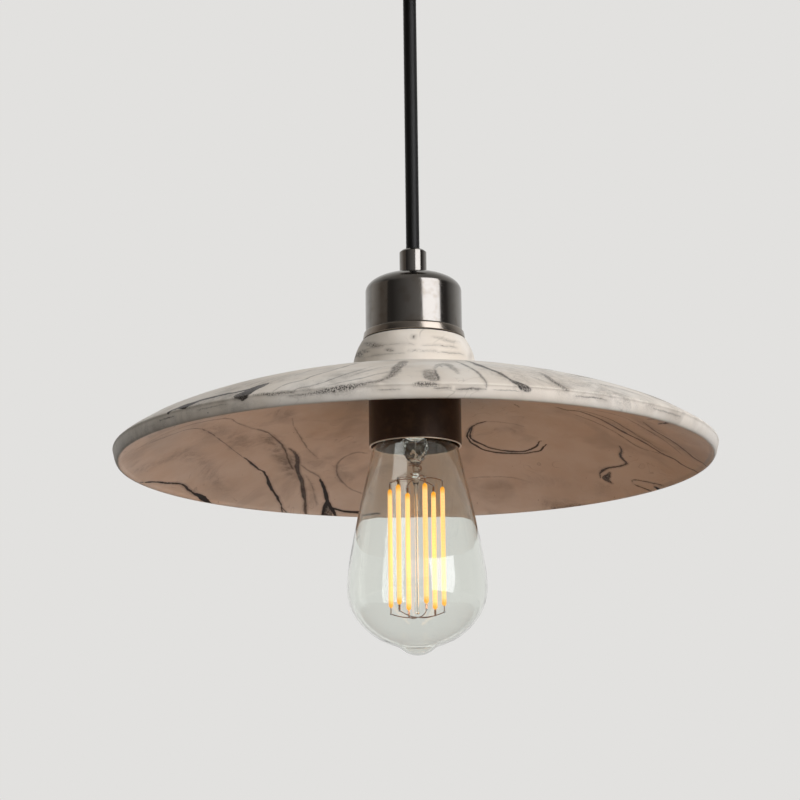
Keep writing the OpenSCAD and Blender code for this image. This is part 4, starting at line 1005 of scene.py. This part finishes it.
# %% Helpers for materials
def hex_colour(text):
    """Linear RGBA of an sRGB hex colour."""
    parts = [int(text[i : i + 2], 16) / 255 for i in (1, 3, 5)]
    return tuple(c / 12.92 if c <= 0.04045 else ((c + 0.055) / 1.055) ** 2.4 for c in parts) + (1.0,)


def add(tree, kind, inputs, out=0, **settings):
    """Adds a node whose inputs get values, hex colours or links, and gives back an output."""
    new = tree.nodes.new("ShaderNode" + kind)
    for key, value in settings.items():
        setattr(new, key, value)
    for key, value in inputs.items():
        if isinstance(value, bpy.types.NodeSocket):
            tree.links.new(value, new.inputs[key])
        else:
            new.inputs[key].default_value = hex_colour(value) if isinstance(value, str) else value
    return new.outputs[out]


def start_material(name, **values):
    """A new material with these values on its shader, and its tree and coordinates in mm."""
    material = bpy.data.materials.new(name)
    material.use_nodes = True
    tree = material.node_tree
    for key, value in values.items():
        tree.nodes["Principled BSDF"].inputs[key.replace("_", " ")].default_value = value
    place = add(tree, "TexCoord", {}, "Object")
    materials[name] = material
    print("finish:", name)
    return tree, add(tree, "VectorMath", {0: place, 3: 1 / MM}, operation="SCALE")


def finish(tree, colour=None, roughness=None, height=None, relief=0.0, glow=None):
    """Links colour, roughness, relief (its depth in mm) and glow to the shader."""
    bump = height and add(tree, "Bump", {"Height": height, "Distance": relief * MM, "Strength": 1.0})
    links = {"Base Color": colour, "Roughness": roughness, "Normal": bump, "Emission Color": glow}
    for socket, output in links.items():
        if output:
            tree.links.new(output, tree.nodes["Principled BSDF"].inputs[socket])


materials = {}
COLOURS = {"out": 2, "data_type": "RGBA"}
SOFT = {"interpolation_type": "SMOOTHSTEP"}

# %% [markdown]
# Most hidden parts have a plain finish with a little life in it: two close tones that drift
# over a few mm, uneven roughness, and fine relief. One function makes such a finish from the
# two tones, the size of the drift, the size and depth of the grain, and the roughness.

# %% Plain finishes
def plain_finish(name, light, dark, drift, grain, relief, roughness, **values):
    """A finish of two close tones. drift and grain are sizes in mm, and relief is a depth in mm."""
    tree, mm = start_material(name, **values)
    broad = add(tree, "TexNoise", {"Vector": mm, "Scale": 1 / drift, "Detail": 4.0, "Roughness": 0.6})
    fine = add(tree, "TexNoise", {"Vector": mm, "Scale": 1 / grain, "Detail": 3.0})
    blend = add(tree, "MapRange", {0: broad, 1: 0.3, 2: 0.7}, **SOFT)
    tone = add(tree, "Mix", {0: blend, 6: light, 7: dark}, **COLOURS)
    rough = add(tree, "MapRange", {0: fine, 1: 0.3, 2: 0.7, 3: roughness - 0.05, 4: roughness + 0.05})
    finish(tree, tone, rough, fine, relief)


# Turned brass: warm yellow with a dull brown tarnish where hands and heat have been.
plain_finish("brass", "#C9A35B", "#A67F41", 3.0, 0.25, 0.01, 0.32, Metallic=1.0)
# Zinc-plated steel: cold grey, a little cloudy, with soft edges to its reflections.
plain_finish("zinc_steel", "#B5B7B8", "#8F9294", 2.5, 0.3, 0.01, 0.36, Metallic=1.0)
# Nickel-plated cap of the bulb: bright and thin, faintly drawn.
plain_finish("nickel_cap", "#D3D0CB", "#B4AFA8", 2.0, 0.3, 0.008, 0.26, Metallic=1.0)
# Coppered wire: rosy brown and drawn through a die, so nearly smooth.
plain_finish("copper_wire", "#A9836A", "#6E4F3B", 1.5, 0.2, 0.004, 0.3, Metallic=1.0)
# Extruded PVC insulation: even colour and a soft shine.
plain_finish("brown_core", "#5F3620", "#4A2A18", 4.0, 0.4, 0.01, 0.38)
plain_finish("blue_core", "#2450A6", "#1B3F86", 4.0, 0.4, 0.01, 0.38)
# Glazed porcelain: warm white and glassy, with the pinholes of the firing.
plain_finish("white_porcelain", "#F0ECE2", "#E2DCCE", 5.0, 0.5, 0.015, 0.2, Coat_Weight=0.3)
# Moulded polyamide of the terminal block: cream with a soft sheen.
plain_finish("cream_plastic", "#F0EDE2", "#E2DDCE", 6.0, 0.4, 0.02, 0.42)
# Vulcanised fibre washer: brick red, pressed paper, dry to the eye.
plain_finish("red_fibre", "#925640", "#73402F", 1.2, 0.2, 0.03, 0.75)
# Moulded rubber gasket: near black and matt.
plain_finish("black_rubber", "#1E1C1A", "#141312", 3.0, 0.25, 0.02, 0.7)
# Black glass of the bulb cap's insulator: dark and shiny.
plain_finish("black_insulator", "#17161A", "#0E0D10", 3.0, 0.6, 0.01, 0.15)
# Epoxy case of the driver's components: black and finely grained.
plain_finish("black_component", "#1B1B1C", "#121213", 2.0, 0.2, 0.01, 0.5)
print(len(materials), "plain finishes")

# %% [markdown]
# Two parts need a pattern of their own. The earth core is green PVC with a yellow stripe
# that winds round it, and the circuit board is glass fibre under a green mask, with copper
# tracks that show lighter. A wave and the edges of cells are enough for parts this small.

# %% Earth core and circuit board
tree, mm = start_material("earth_core", Roughness=0.38)
wave = {"Vector": mm, "Scale": 0.32, "Distortion": 0.4, "Detail": 1.0}
stripe = add(tree, "TexWave", wave, 1, bands_direction="DIAGONAL")
stripe = add(tree, "MapRange", {0: stripe, 1: 0.62, 2: 0.68})
finish(tree, add(tree, "Mix", {0: stripe, 6: "#3E8B2F", 7: "#D8C62B"}, **COLOURS))

tree, mm = start_material("circuit_board", Roughness=0.35)
cells = add(tree, "TexVoronoi", {"Vector": mm, "Scale": 0.55}, feature="DISTANCE_TO_EDGE")
track = add(tree, "MapRange", {0: cells, 1: 0.10, 2: 0.14, 3: 1.0, 4: 0.0})
finish(tree, add(tree, "Mix", {0: track, 6: "#1C4A2A", 7: "#3C7A46"}, **COLOURS), None, track, 0.035)

# %% [markdown]
# Polyester braid: black threads with a faint shine along the fibres. The mesh has the
# threads, so the material adds the fibres and a little grey dust on top. Real fibres are
# 0.02 mm thick, too fine to show, so they are drawn ten times coarser, 0.2 mm apart.

# %% Black braid
tree, mm = start_material("black_braid", Roughness=0.32, Specular_IOR_Level=0.25)
fibres = add(tree, "TexNoise", {"Vector": mm, "Scale": 1 / 0.2, "Detail": 3.0, "Roughness": 0.7})
dust = add(tree, "TexNoise", {"Vector": mm, "Scale": 1 / 2.5, "Detail": 3.0})
dusty = add(tree, "Math", {0: fibres, 1: dust}, operation="MULTIPLY")
dusty = add(tree, "MapRange", {0: dusty, 1: 0.12, 2: 0.42})
tone = add(tree, "Mix", {0: dusty, 6: "#030303", 7: "#0D0D0D"}, **COLOURS)
finish(tree, tone, None, fibres, 0.05)

# %% [markdown]
# Antiqued nickel is nickel plate on turned brass, darkened with a patina and rubbed back. It
# is a dark warm grey with crisp reflections. The tool left fine rings round the axis, so the
# relief is noise that is stretched round the axis and tight along it, a third of a
# millimetre from ring to ring. The patina stays as faint brown clouds, 6 mm wide, and small
# dark spots. The bead ring is paler, with softer reflections.

# %% Antiqued nickel
tree, mm = start_material("antiqued_nickel", Metallic=1.0)
squeezed = add(tree, "Mapping", {0: mm, 3: (0.05, 0.05, 3.0)})
rings = add(tree, "TexNoise", {"Vector": squeezed, "Scale": 1.0, "Detail": 4.0, "Roughness": 0.7})
clouds = add(tree, "TexNoise", {"Vector": mm, "Scale": 1 / 6.0, "Detail": 5.0, "Roughness": 0.6})
specks = add(tree, "TexNoise", {"Vector": mm, "Scale": 1 / 0.8, "Detail": 3.0, "Roughness": 0.7})
patina = add(tree, "MapRange", {0: clouds, 1: 0.45, 2: 0.75, 4: 0.6}, **SOFT)
spots = add(tree, "MapRange", {0: specks, 1: 0.68, 2: 0.74, 4: 0.7}, **SOFT)
height_now = add(tree, "SeparateXYZ", {0: mm}, "Z")
on_ring = add(tree, "MapRange", {0: height_now, 1: ring_high, 2: ring_high - 0.25})
off_ring = add(tree, "MapRange", {0: height_now, 1: ring_low - 0.2, 2: ring_low})
on_ring = add(tree, "Math", {0: on_ring, 1: off_ring}, operation="MULTIPLY")
tone = add(tree, "Mix", {0: patina, 6: "#827F7B", 7: "#70685F"}, **COLOURS)
tone = add(tree, "Mix", {0: on_ring, 6: tone, 7: "#8E867D"}, **COLOURS)
tone = add(tree, "Mix", {0: spots, 6: tone, 7: "#4A4036"}, **COLOURS)
dull = add(tree, "MapRange", {0: clouds, 1: 0.3, 2: 0.75, 3: 0.11, 4: 0.16})
dull = add(tree, "Mix", {0: on_ring, 2: dull, 3: 0.2}, 0, data_type="FLOAT")
finish(tree, tone, dull, rings, 0.004)

# %% [markdown]
# Bronzed metal is brass under a dark brown lacquer. The lacquer gives a soft shine over a
# dark, slightly metallic ground. It has worn thin in clouds about 7 mm wide, where warm
# metal shows. The rim round the mouth of the lampholder is painted pale, a painted highlight
# for the bright line that light draws on its rolled edge.

# %% Bronzed metal
tree, mm = start_material("bronzed_metal", Metallic=0.8, Coat_Weight=0.15, Coat_Roughness=0.3)
clouds = add(tree, "TexNoise", {"Vector": mm, "Scale": 1 / 7.0, "Detail": 5.0, "Roughness": 0.6})
grain = add(tree, "TexNoise", {"Vector": mm, "Scale": 1 / 0.5, "Detail": 3.0})
worn = add(tree, "MapRange", {0: clouds, 1: 0.45, 2: 0.75}, **SOFT)
tone = add(tree, "Mix", {0: worn, 6: "#40332B", 7: "#544437"}, **COLOURS)
height_now = add(tree, "SeparateXYZ", {0: mm}, "Z")
# Painted highlight: a pale line round the rolled rim, broken up a little by the grain.
rim_highlight = add(tree, "MapRange", {0: height_now, 1: skirt_low + 0.5, 2: skirt_low + 0.2})
uneven = add(tree, "MapRange", {0: grain, 1: 0.3, 2: 0.5, 3: 0.5})
rim_highlight = add(tree, "Math", {0: rim_highlight, 1: uneven}, operation="MULTIPLY")
tone = add(tree, "Mix", {0: rim_highlight, 6: tone, 7: "#D2C4B2"}, **COLOURS)
dull = add(tree, "MapRange", {0: grain, 1: 0.3, 2: 0.7, 3: 0.30, 4: 0.42})
finish(tree, tone, dull, grain, 0.01)

# %% [markdown]
# Soda-lime glass: clear, with a faint grey-green tint. A thin-walled trick would be faster
# to render, but the wall is real geometry here, so plain glass bends the light rightly by
# itself. It is a blown piece, so it has very slight waves, about 12 mm apart.

# %% Clear glass
glass_tint = hex_colour("#F6F8F5")
tree, mm = start_material(
    "clear_glass", Base_Color=glass_tint, Roughness=0.0, IOR=1.5, Transmission_Weight=1.0,
)
waves = add(tree, "TexNoise", {"Vector": mm, "Scale": 1 / 12.0, "Detail": 1.0})
finish(tree, height=waves, relief=0.1)

# %% [markdown]
# The filament's phosphor coat is a yellow-orange silicone. When lit it glows warm white in
# the middle and amber at both ends, where the chips stop. The chips show as a faint rhythm
# of brighter dots, 1.5 mm apart. The glow is a light yellow of strength 1.15 rather than a
# strong lamp, so that the colour stays and doesn't burn out to white.

# %% Glowing filament
tree, mm = start_material("glowing_filament", Roughness=0.5, Emission_Strength=1.15)
height_now = add(tree, "SeparateXYZ", {0: mm}, "Z")
coat_low, coat_high = low_of("filament_1") + tab_len, high_of("filament_1") - tab_len
from_low = add(tree, "MapRange", {0: height_now, 1: coat_low + 1.2, 2: coat_low + 4.2}, **SOFT)
from_high = add(tree, "MapRange", {0: height_now, 1: coat_high - 1.2, 2: coat_high - 4.0}, **SOFT)
middle = add(tree, "Math", {0: from_low, 1: from_high}, operation="MULTIPLY")
chips = add(tree, "TexWave", {"Vector": mm, "Scale": 0.21, "Distortion": 0.5}, 1, bands_direction="Z")
lit = add(tree, "MapRange", {0: chips, 3: 0.85, 4: 1.0})
warmth = add(tree, "Math", {0: middle, 1: lit}, operation="MULTIPLY")
glow = add(tree, "Mix", {0: warmth, 6: "#E89E22", 7: "#FFCE8A"}, **COLOURS)
coat = add(tree, "Mix", {0: lit, 6: "#8F6420", 7: "#A57C38"}, **COLOURS)
finish(tree, coat, glow=glow)

# %% [markdown]
# Marbled ceramic: stoneware, pressed, fired and given a thin dull glaze, which spreads the
# light and leaves only a faint broad shine. Its colour is built in layers. First come
# drifting cream tones, soft flowing bands of grey, and hairlines that follow the same flow,
# because they are its contours. The drift is 38 mm wide and the bands 27 mm, as on the clay.

# %% Marbled ceramic: body, bands and hairlines
tree, mm = start_material("marbled_ceramic", IOR=1.45, Coat_Weight=0.2, Coat_Roughness=0.3)
drift = add(tree, "TexNoise", {"Vector": mm, "Scale": 1 / 38, "Detail": 4.0, "Roughness": 0.6})
drift = add(tree, "MapRange", {0: drift, 1: 0.35, 2: 0.65}, **SOFT)
tone = add(tree, "Mix", {0: drift, 6: "#E6E0D7", 7: "#DAD0C3"}, **COLOURS)
push = add(tree, "TexNoise", {"Vector": mm, "Scale": 1 / 60, "Detail": 2.0}, "Color")
push = add(tree, "VectorMath", {0: push, 3: 75.0}, operation="SCALE")
folded = add(tree, "VectorMath", {0: mm, 1: push}, operation="ADD")
flow = add(tree, "TexNoise", {"Vector": folded, "Scale": 1 / 27, "Detail": 3.0, "Roughness": 0.5})
patches = add(tree, "TexNoise", {"Vector": mm, "Scale": 1 / 21, "Detail": 2.0})
bands = add(tree, "MapRange", {0: flow, 1: 0.52, 2: 0.72, 4: 0.5}, **SOFT)
tone = add(tree, "Mix", {0: bands, 6: tone, 7: "#ADA59B"}, **COLOURS)
contour = add(tree, "Math", {0: flow, 1: 12.0}, operation="MULTIPLY")
contour = add(tree, "Math", {0: contour, 1: 0.5}, operation="PINGPONG")
contour = add(tree, "MapRange", {0: contour, 1: 0.07, 2: 0.0}, **SOFT)
some = add(tree, "MapRange", {0: patches, 1: 0.50, 2: 0.66, 4: 0.3}, **SOFT)
contour = add(tree, "Math", {0: contour, 1: some}, operation="MULTIPLY")
tone = add(tree, "Mix", {0: contour, 6: tone, 7: "#756C64"}, **COLOURS)

# %% [markdown]
# The smoke comes next, with the painted shade drawn among its strokes. It is streaked along
# the flow and broken into speckles, where grains of the dark slip lie in the pale clay. The
# grains are about 0.6 mm wide.

# %% Marbled ceramic: smoke and painted shade
speckle = add(tree, "TexNoise", {"Vector": mm, "Scale": 1 / 0.6, "Detail": 4.0, "Roughness": 0.75})
streaks = add(tree, "TexNoise", {"Vector": folded, "Scale": 1 / 5, "Detail": 4.0})
streaks = add(tree, "MapRange", {0: streaks, 1: 0.34, 2: 0.66, 3: 0.3}, **SOFT)
grains = add(tree, "MapRange", {0: speckle, 1: 0.40, 2: 0.60, 3: 0.45}, **SOFT)
# The smoke attribute also carries painted shade on the lip and the dome.
grey = add(tree, "Attribute", {}, "Fac", attribute_name="smoke")
grey = add(tree, "Math", {0: grey, 1: streaks}, operation="MULTIPLY")
grey = add(tree, "Math", {0: grey, 1: grains}, operation="MULTIPLY", use_clamp=True)
tone = add(tree, "Mix", {0: grey, 6: tone, 7: "#5A5048"}, **COLOURS)

# %% [markdown]
# The veins are drawn from the arrows, one layer after another. Noise is added to each arrow,
# which moves the line sideways: a slow wander of a millimetre and a fine fray. The line's
# width swells and thins along its way, and a soft stroke breaks up into grains like a dry
# brush. A pale grey stain lies round each line in places.

# %% Marbled ceramic: veins
shakes = []
for size, shift in ((5.0, 1.6), (0.9, 0.55)):
    shake = add(tree, "TexNoise", {"Vector": mm, "Scale": 1 / size, "Detail": 3.0}, "Color")
    shake = add(tree, "VectorMath", {0: shake, 1: (0.5, 0.5, 0.5)}, operation="SUBTRACT")
    shakes.append(add(tree, "VectorMath", {0: shake, 1: (shift, shift, 0)}, operation="MULTIPLY"))
unsteady = add(tree, "VectorMath", {0: shakes[0], 1: shakes[1]}, operation="ADD")
swell = add(tree, "TexNoise", {"Vector": mm, "Scale": 1 / 8, "Detail": 3.0})
swell = add(tree, "MapRange", {0: swell, 1: 0.3, 2: 0.7, 3: 1.0, 4: 2.2})
missing = add(tree, "MapRange", {0: speckle, 1: 0.58, 2: 0.44, 4: 1.4}, **SOFT)
ink, stain = 0.0, 0.0
for i in range(layer_count):
    arrow = add(tree, "Attribute", {}, "Vector", attribute_name=f"vein_{i}")
    arrow = add(tree, "VectorMath", {0: arrow, 1: unsteady}, operation="ADD")
    distance = add(tree, "VectorMath", {0: arrow}, "Value", operation="LENGTH")
    pen_now = add(tree, "Attribute", {}, "Vector", attribute_name=f"pen_{i}")
    half = add(tree, "SeparateXYZ", {0: pen_now}, "X")
    half = add(tree, "Math", {0: half, 1: swell}, operation="MULTIPLY")
    dark, soft = (add(tree, "SeparateXYZ", {0: pen_now}, axis) for axis in "YZ")
    edge = add(tree, "Math", {0: soft, 1: 0.7, 2: 0.12}, operation="MULTIPLY_ADD")
    outer = add(tree, "Math", {0: half, 1: edge}, operation="ADD")
    inner = add(tree, "Math", {0: half, 1: edge}, operation="SUBTRACT")
    mask = add(tree, "MapRange", {0: distance, 1: outer, 2: inner}, **SOFT)
    gaps = add(tree, "Math", {0: soft, 1: missing}, operation="MULTIPLY")
    gaps = add(tree, "Math", {0: 1.0, 1: gaps}, operation="SUBTRACT", use_clamp=True)
    mask = add(tree, "Math", {0: mask, 1: gaps}, operation="MULTIPLY")
    dark = add(tree, "Math", {0: dark, 1: 0.8}, operation="POWER")
    mask = add(tree, "Math", {0: mask, 1: dark}, operation="MULTIPLY")
    ink = add(tree, "Math", {0: ink, 1: mask}, operation="MAXIMUM")
    outer = add(tree, "Math", {0: half, 1: 1.6}, operation="ADD")
    halo = add(tree, "MapRange", {0: distance, 1: outer, 2: half}, **SOFT)
    halo = add(tree, "Math", {0: halo, 1: dark}, operation="MULTIPLY")
    stain = add(tree, "Math", {0: stain, 1: halo}, operation="MAXIMUM")
some = add(tree, "MapRange", {0: patches, 1: 0.4, 2: 0.6, 3: 0.1, 4: 0.5})
stain = add(tree, "Math", {0: stain, 1: some}, operation="MULTIPLY")
tone = add(tree, "Mix", {0: stain, 6: tone, 7: "#857A6E"}, **COLOURS)
thin = add(tree, "MapRange", {0: speckle, 1: 0.32, 2: 0.46, 3: 1.0, 4: 1.25})
ink = add(tree, "Math", {0: ink, 1: thin}, operation="MULTIPLY", use_clamp=True)
tone = add(tree, "Mix", {0: ink, 6: tone, 7: "#19100A"}, **COLOURS)

# %% [markdown]
# Last come tiny dark specks of iron in the clay, one to every few millimetres, and the
# surface: a low orange-peel relief about 3.5 mm wide, grit of 0.7 mm, and the veins sunk by
# a few hundredths, as slip shrinks more than clay.

# %% Marbled ceramic: specks and surface
near_speck = add(tree, "TexVoronoi", {"Vector": mm, "Scale": 1 / 4.5}, "Distance")
draw = add(tree, "TexVoronoi", {"Vector": mm, "Scale": 1 / 4.5}, "Color")
few = add(tree, "MapRange", {0: add(tree, "SeparateColor", {0: draw}), 1: 0.6, 2: 0.95})
speck = add(tree, "MapRange", {0: near_speck, 1: 0.07, 2: 0.045})
speck = add(tree, "Math", {0: speck, 1: few}, operation="MULTIPLY")
tone = add(tree, "Mix", {0: speck, 6: tone, 7: "#5B4A3C"}, **COLOURS)
peel = add(tree, "TexNoise", {"Vector": mm, "Scale": 1 / 3.5, "Detail": 3.0})
grit = add(tree, "TexNoise", {"Vector": mm, "Scale": 1 / 0.7, "Detail": 2.0})
height = add(tree, "Math", {0: grit, 1: 0.35, 2: peel}, operation="MULTIPLY_ADD")
height = add(tree, "Math", {0: ink, 1: -0.5, 2: height}, operation="MULTIPLY_ADD")
satin = add(tree, "MapRange", {0: peel, 1: 0.3, 2: 0.7, 3: 0.52, 4: 0.64})
finish(tree, tone, satin, height, 0.06)

# %% [markdown]
# The record names a material slot for every CAD node, and each new piece was given one when
# it was made, so two short loops hand out the finishes. The filaments' tabs take the wire's
# metal as a second finish.

# %% Give every node and piece its finish
slot_of = {part["node"]: part["material_slot"] for part in frame["record"]["subparts"]}
for name, slot in slot_of.items():
    finishes = frame["nodes"][name].data.materials
    finishes.clear()
    finishes.append(materials[slot])
for piece, slot in dressed:
    piece.data.materials.append(materials[slot])
for filament, coat_faces in filaments:
    filament.data.materials.append(materials["copper_wire"])
    for face in filament.data.polygons[coat_faces:]:
        face.material_index = 1
print("finishes given:", sorted(set(slot_of.values())))

# %% [markdown]
# The setting is a plain studio. A pale floor lies far below, out of the main view. A painted
# plane would do, but it would throw much light up into the shade. So the floor is only that
# pale to the camera, in reflections and through glass, where it fades into the backdrop far
# off. For the light that it throws back it counts as grey, so the hollow of the shade stays
# in shadow, as in the photograph.

# %% Floor
bpy.ops.mesh.primitive_plane_add(size=14, location=(0, 0, -1.7))
floor = bpy.context.object
floor.name = "studio_floor"

tree, mm = start_material("studio_floor", Roughness=1.0, Specular_IOR_Level=0.0, Emission_Strength=1.0)
seen = add(tree, "LightPath", {}, "Is Camera Ray")
for ray, share in (("Is Transmission Ray", 1.0), ("Is Glossy Ray", 0.5)):
    ray_now = add(tree, "Math", {0: add(tree, "LightPath", {}, ray), 1: share}, operation="MULTIPLY")
    seen = add(tree, "Math", {0: seen, 1: ray_now}, operation="MAXIMUM")
clouds = add(tree, "TexNoise", {"Vector": mm, "Scale": 1 / 90.0, "Detail": 3.0})
pale = add(tree, "Mix", {0: clouds, 6: "#AEACAA", 7: "#A9A7A5"}, **COLOURS)
away = add(tree, "VectorMath", {0: mm}, "Value", operation="LENGTH")
away = add(tree, "MapRange", {0: away, 1: 2200, 2: 6200}, **SOFT)
paler = add(tree, "Mix", {0: away, 6: "#BFBEBD", 7: "#D7D6D5"}, **COLOURS)
paler = add(tree, "Mix", {0: seen, 6: "#000000", 7: paler}, **COLOURS)
finish(tree, add(tree, "Mix", {0: seen, 6: "#6E6A64", 7: pale}, **COLOURS), glow=paler)
floor.data.materials.append(materials["studio_floor"])

# %% [markdown]
# The pale backdrop is the world itself, and it too is only that pale to the camera and
# through glass. As light it is a dim grey, a little brighter from above. In reflections the
# near half of the room is darker, and lighter in its middle than at its sides, which gives
# the metal its soft dark bands, as a real room does. A picture of a room could give this as
# well, but a few ranges of direction are plainer to set.

# %% Backdrop
world = bpy.data.worlds.new("studio")
scene.world = world
world.use_nodes = True
tree = world.node_tree
backdrop = "#E2E1DF"
way = add(tree, "TexCoord", {}, "Generated")
sideways, forwards, upwards = (add(tree, "SeparateXYZ", {0: way}, axis) for axis in "XYZ")
to_camera, in_gloss, through_glass = (
    add(tree, "LightPath", {}, f"Is {ray} Ray") for ray in ("Camera", "Glossy", "Transmission")
)
centre = add(tree, "MapRange", {0: sideways, 1: -0.75, 2: 0.25})
not_right = add(tree, "MapRange", {0: sideways, 1: 0.9, 2: 0.75})
centre = add(tree, "Math", {0: centre, 1: not_right}, operation="MULTIPLY")
front = add(tree, "Mix", {0: centre, 6: "#4A4745", 7: "#A9A6A3"}, **COLOURS)
overhead = add(tree, "MapRange", {0: upwards, 1: 0.45, 2: 0.9})
front = add(tree, "Mix", {0: overhead, 6: front, 7: "#9A9794"}, **COLOURS)
behind = add(tree, "MapRange", {0: forwards, 1: -0.1, 2: 0.7})
mirrored = add(tree, "Mix", {0: behind, 6: front, 7: backdrop}, **COLOURS)
above = add(tree, "MapRange", {0: upwards, 1: -0.5, 2: 0.6})
ambient = add(tree, "Mix", {0: above, 6: "#4F4A44", 7: "#7E7E7D"}, **COLOURS)
tone = add(tree, "Mix", {0: in_gloss, 6: ambient, 7: mirrored}, **COLOURS)
straight = add(tree, "Math", {0: to_camera, 1: through_glass}, operation="MAXIMUM")
tone = add(tree, "Mix", {0: straight, 6: tone, 7: backdrop}, **COLOURS)
tree.links.new(tone, tree.nodes["Background"].inputs["Color"])
print("backdrop:", len(tree.nodes), "nodes in the world")

# %% [markdown]
# One large softbox stands to the right of the camera. It gives the clay its bright right
# side, and the cup, the grip and the bulb their crisp upright reflections. A wide, dim panel
# on the left draws the cup's pale left band. A soft panel over the camera lights the front
# of the lip and the dome, and another one lights the back. These two have no reflection, so
# that the metal keeps its dark bands. The bulb itself only tints the hollow of the shade, so
# a weak warm lamp sits inside it, with neither a reflection nor an image. It rides with the
# bulb, so the tint stays where it belongs when the lamp swings.

# %% Lamps
middle = Vector((0, 0, -0.25))


def new_lamp(name, kind, power, tint):
    """A lamp of a power in watts and a hex colour, which the camera doesn't see."""
    data = bpy.data.lights.new(name, kind)
    data.energy, data.color = power, hex_colour(tint)[:3]
    lamp = bpy.data.objects.new(name, data)
    scene.collection.objects.link(lamp)
    lamp.visible_camera = False
    return lamp


def softbox(name, azimuth, elevation, distance, width, height, power, tint):
    """An area lamp round the object, azimuth 0 being the camera's side and 90 the right."""
    a, e = math.radians(azimuth), math.radians(elevation)
    lamp = new_lamp(name, "AREA", power, tint)
    lamp.data.shape = "RECTANGLE"
    lamp.data.size, lamp.data.size_y = width, height
    way = Vector((math.sin(a) * math.cos(e), -math.cos(a) * math.cos(e), math.sin(e)))
    lamp.location = middle + distance * way
    lamp.rotation_euler = way.to_track_quat("Z", "Y").to_euler()
    return lamp


softbox("key", 43, 10, 1.6, 1.25, 1.9, 27.5, "#FCFCFF")
softbox("left_panel", -92, 8, 1.5, 1.5, 1.4, 1.0, "#FFECDA")
softbox("front_fill", 3, 27, 1.5, 1.2, 1.2, 5, "#FFFCF6").visible_glossy = False
softbox("back_fill", 172, 35, 1.6, 1.2, 1.2, 4, "#FFFFFF").visible_glossy = False
bulb_glow = new_lamp("bulb_glow", "POINT", 0.22, "#FFA14A")
bulb_glow.data.shadow_soft_size = 0.03
bulb_glow.location = (0, 0, (belly + 18) * MM)
bulb_glow.visible_glossy = bulb_glow.visible_transmission = False
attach(bulb_glow, "bulb")
